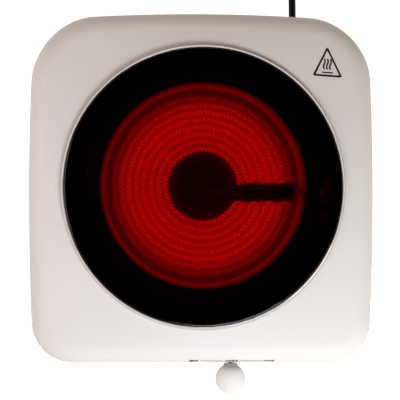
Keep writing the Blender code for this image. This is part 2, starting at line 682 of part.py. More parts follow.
def make_regulator():
    """The energy regulator: case, cover, bushing, nut and bimetal strip on a steel bracket."""
    half = REGULATOR_WIDTH / 2
    bushing_r = SHAFT_R + GAP + BUSHING_WALL
    hole_r = bushing_r + GAP
    bracket = bent_sheet("regulator_bracket",
                         [(BRACKET_Y, KNOB_Z + 0.014), (BRACKET_Y, RIM_Z), (BRACKET_Y + 0.014, RIM_Z)],
                         KNOB_X - half - 0.006, KNOB_X + half + 0.006, ZINC_STEEL)
    case = box("regulator_case", (KNOB_X - half, CASE_Y, CASE_Z),
               (KNOB_X + half, CASE_BACK, CASE_Z + REGULATOR_HEIGHT), PHENOLIC)
    wall = REGULATOR_WALL
    cut(case, "regulator_cavity",
        box_mesh("cavity", (REGULATOR_WIDTH - 2 * wall, REGULATOR_DEPTH, REGULATOR_HEIGHT - 2 * wall)),
        (KNOB_X, CASE_Y + REGULATOR_DEPTH / 2 + wall, KNOB_Z))
    for target in (bracket, case):
        cut_hole(target, f"{target.name}_hole", hole_r, (KNOB_X, BRACKET_Y - 0.004, KNOB_Z), 0.010,
                 rotation=ALONG_Y)
    box("regulator_cover", (KNOB_X - half, CASE_BACK + GAP, CASE_Z),
        (KNOB_X + half, CASE_BACK + GAP + COVER_THICKNESS, CASE_Z + REGULATOR_HEIGHT), PHENOLIC)
    ring("regulator_bushing", SHAFT_R + GAP, bushing_r, BRACKET_Y - 0.0036, CASE_Y + wall,
         BRASS, 16, location=(KNOB_X, 0, KNOB_Z), rotation=ALONG_Y)
    nut = 0.0025
    flat("regulator_nut", [circle(0.0078, 6), circle(hole_r, 16)], nut, ZINC_STEEL,
         (KNOB_X, BRACKET_Y - GAP - nut / 2, KNOB_Z), FACING_FRONT)
    box("bimetal_strip", (KNOB_X - 0.014, CAM_Y, CASE_Z + wall + 0.0014),
        (KNOB_X + 0.014, CAM_Y + LEVER_WIDTH, CASE_Z + wall + 0.0022), BRASS)


def bent_sheet(name, path, low_x, high_x, finish):
    """Fold a strip of sheet along a path of (y, z) points, which is its front and under side."""
    points = [(x, y, z) for y, z in path for x in (low_x, high_x)]
    faces = [(2 * i, 2 * i + 1, 2 * i + 3, 2 * i + 2) for i in range(len(path) - 1)]
    data = bpy.data.meshes.new(name)
    data.from_pydata(points, [], faces)
    folded = add(name, data, finish)
    sheet_metal(folded, 1)
    return folded


# ---- mains inlet and inner wiring --------------------------------------------------------------
def make_inlet():
    """The gland, the end of the cord inside it, its clamp and the terminal block."""
    wall_y = back_edge_y(CORD_X, PLINTH_INSET)
    slack = 0.0005
    inner = -SHEET - slack
    turned("cord_gland",
           [(0, GLAND_LENGTH), (CORD_R + 0.0006, GLAND_LENGTH), (CORD_R + 0.0008, GLAND_LENGTH - 0.001),
            (0.0046, 0.0035), (0.0050, 0.0025), (0.0050, slack), (0.0042, slack), (0.0042, inner),
            (0.0052, inner), (0.0052, inner - 0.0015), (0, inner - 0.0015)], BLACK_PVC, 16,
           location=(CORD_X, wall_y, CORD_Z), rotation=ALONG_Y)
    cord_start = wall_y + inner - 0.0015 - GAP
    block_back = wall_y - 0.0245
    add("cord_end", rod_mesh("cord_end", CORD_R, cord_start - block_back - GAP, 12), BLACK_PVC,
        (CORD_X, block_back + GAP, CORD_Z), ALONG_Y)
    clamp_top = CORD_Z + CORD_R + 0.003
    clamp = box("cord_clamp", (CORD_X - 0.013, wall_y - 0.018, INSIDE_Z),
                (CORD_X + 0.013, wall_y - 0.010, clamp_top), STEATITE)
    cut_hole(clamp, "clamp_cord_hole", CORD_R + GAP, (CORD_X, wall_y - 0.020, CORD_Z), 0.012,
             rotation=ALONG_Y)
    for index, side in enumerate((-1, 1), start=1):
        place = (CORD_X + side * 0.0085, wall_y - 0.014, 0)
        cut_hole(clamp, f"clamp_screw_hole_{index}", 0.0017, (place[0], place[1], CORD_Z - 0.003),
                 0.012, sides=10)
        turned(f"clamp_screw_{index}",
               [(0, clamp_top + 0.0022), (0.0028, clamp_top + 0.0022), (0.0028, clamp_top + GAP),
                (0.0013, clamp_top + GAP), (0.0013, CORD_Z - 0.002), (0, CORD_Z - 0.002)],
               ZINC_STEEL, 10, location=place)
    box("mains_terminal_block", (CORD_X - 0.014, wall_y - 0.041, INSIDE_Z),
        (CORD_X + 0.014, block_back, INSIDE_Z + 0.014), STEATITE, bevel=0.0006)


def make_wiring():
    """The earth screw and the insulated wires, each routed under or beside the heater."""
    front = back_edge_y(CORD_X, PLINTH_INSET) - 0.041 - GAP
    rear = CASE_BACK + GAP + COVER_THICKNESS + GAP
    head_front = ROD_Y - 0.011 - GAP
    block_x = HEAD_X + 0.006
    block_y = ROD_Y - 0.024
    turned("earth_screw",
           [(0, 0.0115), (0.0033, 0.0115), (0.0033, 0.0088), (0.0045, 0.0088), (0.0045, INSIDE_Z),
            (0, INSIDE_Z)], BRASS, 12, location=(0.106, 0.076, 0))
    runs = {
        "wire_live": (WIRE_RED, [
            (CORD_X - 0.006, front, 0.0140), (CORD_X - 0.007, front - 0.006, 0.0138),
            (0.060, 0.052, 0.0120), (0.045, 0.000, 0.0115), (0.036, -0.060, 0.0120),
            (0.027, -0.096, 0.0170), (0.021, -0.107, 0.0270), (0.020, -0.1105, 0.0325), (0.020, rear, 0.0335)]),
        "wire_neutral": (WIRE_BLUE, [
            (CORD_X + 0.002, front, 0.0140), (CORD_X + 0.003, front - 0.006, 0.0138),
            (0.095, 0.058, 0.0125), (0.105, 0.025, 0.0140), (0.110, -0.006, 0.0170),
            (block_x + 0.001, -0.023, 0.0235), (block_x, block_y, 0.0290), (block_x, block_y, DISH_Z + 0.003 - GAP)]),
        "wire_earth": (WIRE_GREEN, [
            (CORD_X + 0.010, front, 0.0120), (CORD_X + 0.0105, front - 0.004, 0.0119),
            (0.0950, 0.0790, 0.0110), (0.0990, 0.0770, 0.0108), (0.1022, 0.0765, 0.0108)]),
        "wire_limiter": (WIRE_RED, [
            (0.032, rear, 0.0400), (0.033, -0.1100, 0.0398), (0.044, -0.1060, 0.0370),
            (0.070, -0.1000, 0.0320), (0.098, -0.0790, 0.0330), (0.117, -0.0500, 0.0410),
            (0.120, -0.0320, 0.0490), (HEAD_X + 0.0125, -0.0220, 0.0530),
            (HEAD_X + 0.011, head_front, 0.0535)]),
    }
    for name, (finish, route) in runs.items():
        tube(name, through(route, 2), 0.0013, finish)


# ---- mains cord --------------------------------------------------------------------------------
LEAD_ROUTE = [(CORD_X, 0.14757, 0.0130), (CORD_X, 0.1550, 0.0129), (CORD_X, 0.1635, 0.0121),
              (CORD_X, 0.1730, 0.0101), (CORD_X, 0.1830, 0.0074), (CORD_X, 0.1930, 0.0053),
              (CORD_X, 0.2010, 0.0045), (CORD_X, 0.2083, 0.0043)]
TAIL_ROUTE = [(0.00483, 0.26140, 0.0066), (-0.00034, 0.25952, 0.0049), (-0.00598, 0.25747, 0.0036),
              (-0.01162, 0.25542, 0.0032), (-0.01726, 0.25337, 0.0034), (-0.02289, 0.25132, 0.0046),
              (-0.02853, 0.24926, 0.0062)]


def make_cord():
    """The lead from the gland, the tied coil, the tail, and the plug on its end."""
    tube("cord_lead", through(LEAD_ROUTE, 1), CORD_R, BLACK_PVC)
    tube("cord_tail", through(TAIL_ROUTE, 1), CORD_R, BLACK_PVC)
    low, high, round_off = COIL_LIFT, COIL_TOP, 0.0028
    inner, outer = COIL_TURN_R - COIL_HALF_WIDTH, COIL_TURN_R + COIL_HALF_WIDTH
    turned("cord_coil",
           [(outer - round_off, high), (outer, high - round_off), (outer, low + round_off),
            (outer - round_off, low), (inner + round_off, low), (inner, low + round_off),
            (inner, high - round_off), (inner + round_off, high)], BLACK_PVC, 40,
           location=(COIL_X, COIL_Y, 0))
    band, fit = 0.0008, 0.0007
    loops = []
    for grow in (fit + band, fit):
        reach = COIL_HALF_WIDTH + grow
        bottom = low - GAP - (grow - fit)
        top = high + GAP + (grow - fit)
        loops.append([(-reach, bottom), (reach, bottom), (reach, top), (-reach, top)])
    flat("cord_tie", loops, 0.008, BLACK_PVC, (COIL_X - COIL_TURN_R, COIL_Y, 0), FACING_FRONT)


def make_plug():
    """A plain round plug with two pins, lying on its rim and its tail at the cord's end."""
    end = Vector(TAIL_ROUTE[-1])
    heading = Vector(TAIL_ROUTE[-1]) - Vector(TAIL_ROUTE[0])
    heading.z = 0
    heading.normalize()
    axis = heading * cos(PLUG_TILT) + Vector((0, 0, sin(PLUG_TILT)))
    turn = axis.to_track_quat("Z", "Y")
    start = end + axis * GAP
    start.z = GAP + 0.014 * sin(PLUG_TILT) + PLUG_R * cos(PLUG_TILT) - PLUG_LENGTH * sin(PLUG_TILT)
    length = PLUG_LENGTH
    turned("plug_body",
           [(0, length), (PLUG_R - 0.001, length), (PLUG_R, length - 0.001), (PLUG_R, length - 0.014),
            (0.0140, length - 0.017), (0.0125, length - 0.029), (0.0090, length - 0.035),
            (0.0058, length - 0.038), (CORD_R + 0.0010, 0), (0, 0)], BLACK_PVC, 24,
           location=start, rotation=turn.to_euler())
    for index, side in enumerate((-1, 1), start=1):
        place = start + turn @ Vector((side * PIN_SPACING / 2, 0, length + GAP))
        add(f"plug_pin_{index}", rod_mesh("plug_pin", PIN_R, PIN_LENGTH, 12), BRASS, place,
            turn.to_euler())


make_housing()
make_cover()
make_feet()
make_glass()
make_heater()
make_heater_support()
make_knob()
make_follower()
make_regulator()
make_inlet()
make_wiring()
make_cord()
make_plug()
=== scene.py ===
from math import atan2, cos, hypot, pi, radians, sin, sqrt, tan

import bmesh
import bpy
import numpy as np
from mathutils import Matrix, Vector


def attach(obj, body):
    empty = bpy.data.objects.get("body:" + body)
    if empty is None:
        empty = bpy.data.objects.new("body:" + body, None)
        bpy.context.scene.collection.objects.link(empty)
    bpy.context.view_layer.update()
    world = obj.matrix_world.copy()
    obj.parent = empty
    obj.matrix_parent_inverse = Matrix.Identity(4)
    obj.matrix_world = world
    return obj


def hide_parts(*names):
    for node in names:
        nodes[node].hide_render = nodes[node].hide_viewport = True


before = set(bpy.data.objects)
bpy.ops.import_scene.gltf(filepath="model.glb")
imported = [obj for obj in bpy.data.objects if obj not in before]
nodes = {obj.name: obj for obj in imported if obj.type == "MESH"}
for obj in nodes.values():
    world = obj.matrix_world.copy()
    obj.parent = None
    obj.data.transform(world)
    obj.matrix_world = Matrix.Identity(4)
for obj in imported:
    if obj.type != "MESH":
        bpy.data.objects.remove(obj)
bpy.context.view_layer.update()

# ---- Studio: camera, soft lights, floor ----
# The hot plate stands on a pale table in a light tent that is open, and so dark, straight overhead,
# which keeps the black glass free of reflections. Three soft boxes add to it, most at the front.
CAMERA_TARGET = Vector((-0.00030, 0.00355, 0.020))
CAMERA_DISTANCE = 2.0
CAMERA_LEAN_X = radians(3.398)
CAMERA_LEAN_Y = radians(1.911)
CAMERA_LENS = 205.25
TENT_LOW = (1.16, 1.11, 1.05)       # the light tent's walls
TENT_HIGH = (0.225, 0.125, 0.05)    # its shoulders, under the dark roof
TABLE_GLOW = 1.0


class Socket:
    """A shader socket to calculate with: + - * / on it, from either side, add Math nodes."""

    def __init__(self, tree, output=None):
        self.tree = tree
        self.output = output

    def node(self, kind, settings=None, values=None, output=0):
        """Add a node: its settings, then the values or links of its sockets; give one output."""
        made = self.tree.nodes.new("ShaderNode" + kind)
        for name, value in (settings or {}).items():
            if name == "stops":
                stops = made.color_ramp.elements
                while len(stops) < len(value):
                    stops.new(1.0)
                for stop, (place, colour) in zip(stops, value):
                    stop.position = place
                    stop.color = (*colour, 1) if isinstance(colour, tuple) else (colour,) * 3 + (1,)
            else:
                setattr(made, name, value)
        for name, value in (values or {}).items():
            if isinstance(value, Socket):
                self.tree.links.new(value.output, made.inputs[name])
            else:
                made.inputs[name].default_value = value
        return Socket(self.tree, made.outputs[output])

    def maths(self, operation, *others):
        """One Math node on this and others."""
        return self.node("Math", {"operation": operation}, dict(enumerate((self, *others))))

    def __add__(self, other):
        return self.maths("ADD", other)

    def __sub__(self, other):
        return self.maths("SUBTRACT", other)

    def __rsub__(self, other):
        return self.node("Math", {"operation": "SUBTRACT"}, {0: other, 1: self})

    def __mul__(self, other):
        return self.maths("MULTIPLY", other)

    def __truediv__(self, other):
        return self.maths("DIVIDE", other)

    __radd__ = __add__
    __rmul__ = __mul__

    def step(self, start, end):
        """0 below start, 1 above end, and a soft step between them."""
        return self.node("MapRange", {"interpolation_type": "SMOOTHSTEP"},
                         {"Value": self, "From Min": start, "From Max": end})

    def mixed(self, first, second):
        """The first colour where this is 0, the second where it is 1."""
        colours = [c if isinstance(c, Socket) else (*c, 1) for c in (first, second)]
        return self.node("Mix", {"data_type": "RGBA"}, {0: self, 6: colours[0], 7: colours[1]}, 2)

    def grain(self, scale, detail=3.0, roughness=0.5):
        """Noise of that many waves to the metre over the piece, from 0 to 1."""
        return self.node("TexNoise", None, {"Vector": self.place(), "Scale": scale,
                                            "Detail": detail, "Roughness": roughness})

    def place(self):
        """Where a point of the piece is, in metres."""
        return self.node("TexCoord", output=3)

    def axes(self, vector=None):
        """The three parts of a vector, the place if none is given."""
        split = self.node("SeparateXYZ", None, {0: vector or self.place()})
        return [Socket(self.tree, split.output.node.outputs[i]) for i in range(3)]

    def round_axis(self, middle_y):
        """The place seen from the upright axis at that y: x, y, height and distance from it."""
        x, y, z = self.axes()
        y = y - middle_y
        return x, y, z, (x * x + y * y).maths("SQRT")


class Finish:
    """A material with one Principled shader: constants by name, and patterns linked to sockets."""

    def __init__(self, name, **constants):
        self.material = bpy.data.materials.new(name)
        self.material.use_nodes = True
        self.start = Socket(self.material.node_tree)
        self.shader = self.material.node_tree.nodes["Principled BSDF"]
        for key, value in constants.items():
            socket = self.shader.inputs[key.replace("_", " ").title().replace("Ior", "IOR")]
            socket.default_value = (*value, 1) if isinstance(value, tuple) else value

    def link(self, name, value):
        self.start.tree.links.new(value.output, self.shader.inputs[name])

    def bump(self, height, metres, strength=1.0):
        """Raise the surface by height, from 0 to 1, times metres."""
        self.link("Normal", self.start.node("Bump", None, {
            "Height": height, "Distance": metres, "Strength": strength}))

    def mottle(self, pattern, first, second, rough=None, spread=None, metres=None):
        """Mix two colours by a pattern; add spread times it to rough; raise it by metres."""
        self.link("Base Color", pattern.mixed(first, second))
        if spread:
            self.link("Roughness", pattern * spread + rough)
        if metres:
            self.bump(pattern, metres)


def in_scene(name, data):
    """A new object with this data, in the scene."""
    made = bpy.data.objects.new(name, data)
    bpy.context.scene.collection.objects.link(made)
    return made


camera = in_scene("camera", bpy.data.cameras.new("camera"))
camera.data.lens = CAMERA_LENS
towards_camera = Vector((-tan(CAMERA_LEAN_X), -tan(CAMERA_LEAN_Y), 1)).normalized()
camera_right = Vector((0, 1, 0)).cross(towards_camera).normalized()
camera_up = towards_camera.cross(camera_right)
camera.matrix_world = Matrix.LocRotScale(
    CAMERA_TARGET + towards_camera * CAMERA_DISTANCE,
    Matrix((camera_right, camera_up, towards_camera)).transposed(), None)
bpy.context.scene.camera = camera
bpy.context.scene.view_settings.view_transform = "Standard"

tent = bpy.data.worlds.new("light_tent")
tent.use_nodes = True
bpy.context.scene.world = tent
sky = Socket(tent.node_tree)
height_in_tent = sky.axes()[2]
tent_light = height_in_tent.step(0.20, 0.45).mixed(TENT_LOW, TENT_HIGH)
tent_light = height_in_tent.step(0.80, 0.93).mixed(tent_light, (0.0, 0.0, 0.0))
tent_shader = tent.node_tree.nodes["Background"]
tent.node_tree.links.new(tent_light.output, tent_shader.inputs["Color"])


def soft_lamp(name, place, size, watts, colour):
    """A square soft box that faces the middle of the plate."""
    lamp = bpy.data.lights.new(name, "AREA")
    lamp.size = size
    lamp.energy = watts
    lamp.color = colour
    holder = in_scene(name, lamp)
    holder.location = place
    holder.rotation_euler = (-Vector(place)).to_track_quat("-Z", "Y").to_euler()
    holder.visible_camera = False


soft_lamp("front_lamp", (0.13, -0.37, 0.52), 0.30, 2.66, (0.82, 0.92, 1.0))
soft_lamp("left_lamp", (-0.42, 0.02, 0.45), 0.30, 0.93, (1.0, 0.93, 1.0))
soft_lamp("right_lamp", (0.36, -0.25, 0.27), 0.24, 0.27, (1.0, 0.90, 0.85))

table = Finish("table_top", roughness=0.6, emission_strength=TABLE_GLOW)
table.mottle(table.start.grain(9.0), (0.93, 0.93, 0.925), (0.90, 0.90, 0.895))
table.link("Emission Color", table.start.node("LightPath").mixed((0.09, 0.09, 0.09), (1, 1, 1)))
floor_mesh = bpy.data.meshes.new("floor")
floor_mesh.from_pydata([(-4, -4, 0), (4, -4, 0), (4, 4, 0), (-4, 4, 0)], [], [(0, 1, 2, 3)])
floor_mesh.materials.append(table.material)
floor = in_scene("floor", floor_mesh)

# ---- Mains cord ----
# A round three-core lead in black PVC, a little over a metre long. It comes straight out of the
# plinth at the back, sinks to the table and is wound into a storage coil behind the plate.
CORD_R = 0.0031
HOUSING_Y = 0.0134                  # the housing's middle is this far behind the origin
GLAND_END = Vector((0.0818, 0.1607, 0.0130))
COIL_MIDDLE = Vector((0.0416, 0.2454, 0))
COIL_COLUMNS = (0.0402, 0.0340, 0.0278)
COIL_LOW_Z = 0.0044
COIL_HIGH_Z = 0.0106
COIL_LEAVES = 110                   # degrees round the coil


def finished(obj, finish, body="root", replaces=()):
    """Give a new piece its finish, its body and the CAD nodes that it stands for."""
    obj.data.materials.append(finish.material)
    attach(obj, body)
    if replaces:
        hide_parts(*replaces)
    return obj


def eased(x, start, end):
    """0 before start, 1 after end, and half a cosine wave between."""
    t = np.clip((x - start) / (end - start), 0, 1)
    return (1 - np.cos(pi * t)) / 2


def on_circle(angle, radius, x=0.0, y=0.0):
    """Points on a circle round (x, y) at these angles, or on a spiral if the radius changes."""
    return np.stack([x + radius * np.cos(angle), y + radius * np.sin(angle)], axis=1)


def coil_points(count=84):
    """Centreline of the wound cord: three turns inwards below, a rise, three outwards on top.

    The radius steps from column to column by half a cosine wave, below between 215 and 315
    degrees of a turn, on top between 105 and 205; the height rises at 150 to 240 degrees.
    """
    turn = np.linspace(0, 5 * 360 + COIL_LEAVES, count)
    outer, middle, inner = COIL_COLUMNS
    radius = outer + (middle - outer) * (eased(turn, 215, 315) - eased(turn, 1545, 1645))
    radius = radius + (inner - middle) * (eased(turn, 575, 675) - eased(turn, 1185, 1285))
    height = COIL_LOW_Z + (COIL_HIGH_Z - COIL_LOW_Z) * eased(turn, 870, 960)
    spiral = on_circle(np.radians(turn), radius, COIL_MIDDLE.x, COIL_MIDDLE.y)
    return np.column_stack([spiral, height])


lead = [(GLAND_END.x, y, z) for y, z in (
    (0.1609, 0.0130), (0.1684, 0.0129), (0.1769, 0.0121), (0.1864, 0.0101), (0.1964, 0.0074),
    (0.2064, 0.0053), (0.2144, 0.0045), (0.2230, 0.0043), (0.2340, 0.0044))]
leaving = radians(COIL_LEAVES)
tail_heading = np.array([-sin(leaving), cos(leaving)])
tail_start = np.array([COIL_MIDDLE.x + COIL_COLUMNS[0] * cos(leaving),
                       COIL_MIDDLE.y + COIL_COLUMNS[0] * sin(leaving)])
tail = [(*(tail_start + tail_heading * along), z)
        for along, z in ((0.0060, 0.0104), (0.0120, 0.0096), (0.0180, 0.0083), (0.0245, 0.0066),
                         (0.0300, 0.0049), (0.0360, 0.0036), (0.0420, 0.0032), (0.0480, 0.0034),
                         (0.0540, 0.0046), (0.0600, 0.0062))]
cord_line = [*lead, *map(tuple, coil_points()), *tail]
cord_curve = bpy.data.curves.new("mains_cord", "CURVE")
cord_curve.dimensions = "3D"
cord_curve.bevel_depth = CORD_R
cord_curve.bevel_resolution = 5
cord_curve.use_fill_caps = True
cord_curve.resolution_u = 4
cord_spline = cord_curve.splines.new("BEZIER")
cord_spline.bezier_points.add(len(cord_line) - 1)
for knot, point in zip(cord_spline.bezier_points, cord_line):
    knot.co = point
    knot.handle_left_type = knot.handle_right_type = "AUTO"
mains_cord = in_scene("mains_cord", cord_curve)


def pvc(name, sheen):
    """Soft black PVC: fine matt grain, and faint wear where it has been handled."""
    made = Finish(name, specular_ior_level=0.30)
    fine = made.start.grain(2600.0, 2.0)
    worn = made.start.grain(45.0, 4.0, 0.6).step(0.42, 0.72)
    made.link("Base Color", worn.mixed((0.0035, 0.0035, 0.0037), (0.010, 0.0098, 0.0098)))
    made.link("Roughness", fine * 0.14 + (worn * 0.10 + sheen))
    made.bump(fine + worn * 0.3, 0.00003)
    return made


cord_pvc = pvc("cord_pvc", 0.34)
moulded_pvc = pvc("moulded_pvc", 0.42)
finished(mains_cord, cord_pvc, replaces=("cord_lead", "cord_coil", "cord_tail"))

# ---- Cord gland, tie and plug ----
# The gland is a ribbed PVC sleeve moulded on the cord, clipped into the plinth. A strap holds the
# coil. The plug is moulded on too, with two nickel-plated pins, and lies on its rim and tail.
GLAND_BACK = 0.1407                 # outer face of the plinth's wall, where the gland sits
GLAND_RIBS = 5
TIE_WIDTH = 0.008
TIE_BAND = 0.0008
TIE_CORNER = 0.0022
PLUG_LENGTH = 0.058
PLUG_R = 0.018
PLUG_TILT = radians(15)
PIN_R = 0.0024
PIN_LENGTH = 0.019
PIN_SPACING = 0.019


def skin(name, points, crease=40, closed=False):
    """A mesh of four-sided faces over a grid of points, whose last column joins the first.

    closed says whether the last row joins the first too. Points that lie on each other, at a
    pole, become one.
    """
    rows, columns = points.shape[:2]
    row = np.arange(rows if closed else rows - 1)
    r, c = np.meshgrid(row, np.arange(columns), indexing="ij")
    down, across = (r + 1) % rows, (c + 1) % columns
    faces = np.stack([r * columns + c, r * columns + across, down * columns + across,
                      down * columns + c], axis=-1).reshape(-1, 4)
    data = bpy.data.meshes.new(name)
    data.from_pydata(points.reshape(-1, 3).tolist(), [], faces.tolist())
    grid = bmesh.new()
    grid.from_mesh(data)
    bmesh.ops.remove_doubles(grid, verts=grid.verts, dist=1e-7)
    bmesh.ops.dissolve_degenerate(grid, edges=grid.edges, dist=1e-8)
    grid.to_mesh(data)
    grid.free()
    data.shade_smooth()
    data.set_sharp_from_angle(angle=radians(crease))
    return in_scene(name, data)


def rounded(profile, sizes, steps=4):
    """Round the corners of a profile: a corner becomes a small arc-like curve of steps points.

    Each new point is a quadratic blend of the corner and two points at the given size from it.
    """
    corners = np.array(profile, float)
    line = [corners[0]]
    for before, here, after, size in zip(corners, corners[1:], corners[2:], sizes):
        back, on = before - here, after - here
        reach = min(size, np.linalg.norm(back) * 0.48, np.linalg.norm(on) * 0.48)
        if reach < 1e-6:
            line.append(here)
            continue
        start = here + back / np.linalg.norm(back) * reach
        end = here + on / np.linalg.norm(on) * reach
        t = np.linspace(0, 1, steps + 1)[:, None]
        line.extend((1 - t) ** 2 * start + 2 * t * (1 - t) * here + t ** 2 * end)
    line.append(corners[-1])
    return np.array(line)


def turned(name, profile, sides, place=(0, 0, 0), turn=None, crease=40):
    """A profile of (radius, height) points carried round an axis, like work on a lathe.

    The profile runs from the top down on its outer side. turn is the axis's rotation; an axis
    left as it is stands along Z. place is where the profile's zero lies.
    """
    line = np.asarray(profile, float)
    angle = np.linspace(0, 2 * pi, sides, endpoint=False)
    x = line[:, :1] * np.cos(angle)
    y = line[:, :1] * np.sin(angle)
    z = np.repeat(line[:, 1:], sides, axis=1)
    points = np.stack([x, y, z], axis=-1)[:, ::-1]
    if turn is not None:
        points = points @ np.array(turn.to_matrix()).T
    return skin(name, points + np.array(place), crease)


ALONG_Y = Vector((0, 1, 0)).to_track_quat("Z", "Y")

gland_profile = [(0.0, 0.0200), (0.0036, 0.0200), (0.0039, 0.0196)]
for rib in range(GLAND_RIBS):
    low = 0.0182 - rib * 0.0030
    width = 0.0039 + rib * 0.00016
    gland_profile += [(width, low + 0.0004), (width - 0.0005, low), (width - 0.0005, low - 0.0008),
                      (width + 0.0001, low - 0.0012)]
gland_profile += [(0.0047, 0.0036), (0.0050, 0.0026), (0.0050, 0.0008), (0.0048, 0.0005),
                  (0.0042, 0.0005), (0.0042, -0.0017), (0.0052, -0.0017), (0.0052, -0.0032),
                  (0.0, -0.0032)]
cord_gland = finished(turned("cord_gland_sleeve", gland_profile, 40,
                             (GLAND_END.x, GLAND_BACK, GLAND_END.z), ALONG_Y, crease=60),
                      moulded_pvc, replaces=("cord_gland",))


def strap_loop(middle, half_width, low, high):
    """A strap round the coil's section: a rounded rectangle carried along a rounded rectangle.

    Round the loop the corners are quarter circles; the strap's own section is TIE_BAND thick
    and TIE_WIDTH wide, with its edges drawn in.
    """
    angle = np.linspace(0, 2 * pi, 64, endpoint=False)
    normal = on_circle(angle, 1.0)
    straight = np.array([half_width, (high - low) / 2]) - TIE_CORNER
    path = np.sign(normal) * straight * (abs(normal) > 1e-9) + TIE_CORNER * normal
    section = np.array([(0, -0.5), (0.5, -0.48), (1, -0.42), (1, 0.42), (0.5, 0.48), (0, 0.5)])
    out = path[:, None] + normal[:, None] * (section[:, :1] * TIE_BAND)[None]
    along = np.repeat(section[None, :, 1] * TIE_WIDTH, len(angle), axis=0)
    points = np.stack([middle.x + out[..., 0], middle.y + along,
                       (low + high) / 2 + out[..., 1]], axis=-1)
    return skin("coil_strap", points, 50, closed=True)


strap = Finish("strap_weave")
weave = strap.start.node("TexWave", {"wave_type": "BANDS", "bands_direction": "Y"},
                         {"Vector": strap.start.place(), "Scale": 260.0, "Distortion": 1.0})
strap.mottle(weave, (0.010, 0.010, 0.011), (0.026, 0.026, 0.027), 0.7, 0.2, 0.0001)
tie_middle = Vector((COIL_MIDDLE.x - COIL_COLUMNS[1], COIL_MIDDLE.y, 0))
coil_strap = finished(strap_loop(tie_middle, 0.0102, 0.0009, 0.0141), strap,
                      replaces=("cord_tie",))

plug_axis = Vector((*(tail_heading * cos(PLUG_TILT)), sin(PLUG_TILT)))
plug_turn = plug_axis.to_track_quat("Z", "Y")
plug_start = Vector(tail[-1]) + plug_axis * 0.0003
plug_start.z = (0.0003 + 0.014 * sin(PLUG_TILT) + PLUG_R * cos(PLUG_TILT)
                - PLUG_LENGTH * sin(PLUG_TILT))
end = PLUG_LENGTH
plug_profile = rounded(
    [(0, end), (PLUG_R, end), (PLUG_R, end - 0.014), (0.0140, end - 0.017), (0.0125, end - 0.029),
     (0.0090, end - 0.035), (0.0058, end - 0.038), (0.0052, 0.0145), (0.0046, 0.0140),
     (0.0046, 0.0128), (0.0052, 0.0122), (0.0050, 0.0100), (0.0044, 0.0095), (0.0044, 0.0083),
     (0.0049, 0.0078), (0.0047, 0.0056), (0.0042, 0.0051), (0.0042, 0.0039), (0.0046, 0.0034),
     (0.0041, 0), (0, 0)],
    [0.0012, 0.0012, 0.0020, 0.0040, 0.0030, 0.0020] + [0.0003] * 12 + [0.0005], 3)
plug_housing = finished(turned("plug_housing", plug_profile, 56, plug_start, plug_turn, crease=50),
                        moulded_pvc, replaces=("plug_body",))

nickel = Finish("nickel_plate", metallic=1.0)
nickel.mottle(nickel.start.grain(900.0, 4.0, 0.6), (0.66, 0.63, 0.58), (0.78, 0.75, 0.70),
              0.14, 0.20)
pin_profile = rounded([(0, PIN_LENGTH), (0.0019, PIN_LENGTH - 0.0002), (PIN_R, PIN_LENGTH - 0.002),
                       (PIN_R, 0.0), (0, 0)], [0.0006, 0.0010, 0.0], 3)
for number, side in enumerate((-1, 1), start=1):
    pin_place = plug_start + plug_turn @ Vector((side * PIN_SPACING / 2, 0, PLUG_LENGTH + 0.0003))
    finished(turned(f"mains_pin_{number}", pin_profile, 32, pin_place, plug_turn),
                              nickel, replaces=(f"plug_pin_{number}",))

# ---- Top housing ----
# One deep-drawn sheet of 1.2 mm steel with leaning walls, a soft edge and a round seat for the
# glass, enamelled in warm white. The shaft of the knob passes through a hole in its front wall.
HALF_WIDTH = 0.150
HALF_DEPTH = 0.152
FRONT_CORNER = 0.034
BACK_CORNER = 0.052
SIDE_BULGE = 0.0045
BACK_BULGE = 0.0065
RIM_Z = 0.020
EDGE_Z = 0.0610
TOP_Z = 0.0620
WALL_DRAFT = radians(3)
EDGE_ROUND = 0.016
SHEET = 0.0012
GLASS_R = 0.120
OPENING_R = 0.110
SEAT_R = 0.1242                     # the crown ends here, just outside the trim ring
# Under the ring and the glass the white enamel is painted near black: painted shade.
LEDGE_R = 0.1210                    # inside this the enamel is dark, under the ring and the glass
EDGE_INSET = EDGE_ROUND * cos(WALL_DRAFT) + (
    EDGE_Z - EDGE_ROUND + EDGE_ROUND * sin(WALL_DRAFT) - RIM_Z) * tan(WALL_DRAFT)
KNOB_X, KNOB_Y, KNOB_Z = 0.025, -0.1655 + HOUSING_Y, 0.040


def housing_outline(inset, steps=22):
    """Plan of the housing moved inwards by inset: a rounded square whose sides swell.

    Quarter circles at the corners and even steps between them; then each side moves out by its
    bulge times 1 minus the square of the distance along it, as a share of the half side.
    """
    half_x = HALF_WIDTH - SIDE_BULGE - inset
    back, front = HALF_DEPTH - BACK_BULGE - inset, HALF_DEPTH - inset
    back_r, front_r = max(BACK_CORNER - inset, 0.006), max(FRONT_CORNER - inset, 0.006)
    corners = [(1, 1, back, back_r, 0), (-1, 1, back, back_r, 90),
               (-1, -1, front, front_r, 180), (1, -1, front, front_r, 270)]
    arcs = []
    for sx, sy, reach, r, start in corners:
        angle = np.radians(start + 90 * np.linspace(0, 1, steps + 1))
        arcs.append(on_circle(angle, r, sx * (half_x - r), sy * (reach - r)))
    runs = []
    for arc, following in zip(arcs, arcs[1:] + arcs[:1]):
        t = np.linspace(0, 1, steps + 1)[1:-1, None]
        runs += [arc, arc[-1] + (following[0] - arc[-1]) * t]
    plain = np.concatenate(runs)
    x, y = plain[:, 0], plain[:, 1]
    along = np.where(y > 0, back, front)
    return np.stack([x + SIDE_BULGE * x / half_x * (1 - (y / along) ** 2),
                     y + BACK_BULGE * np.maximum(y / back, 0) * (1 - (x / half_x) ** 2)
                     + HOUSING_Y], axis=1)


def unit(vectors):
    """Each row divided by its length."""
    return vectors / np.linalg.norm(vectors, axis=1, keepdims=True)


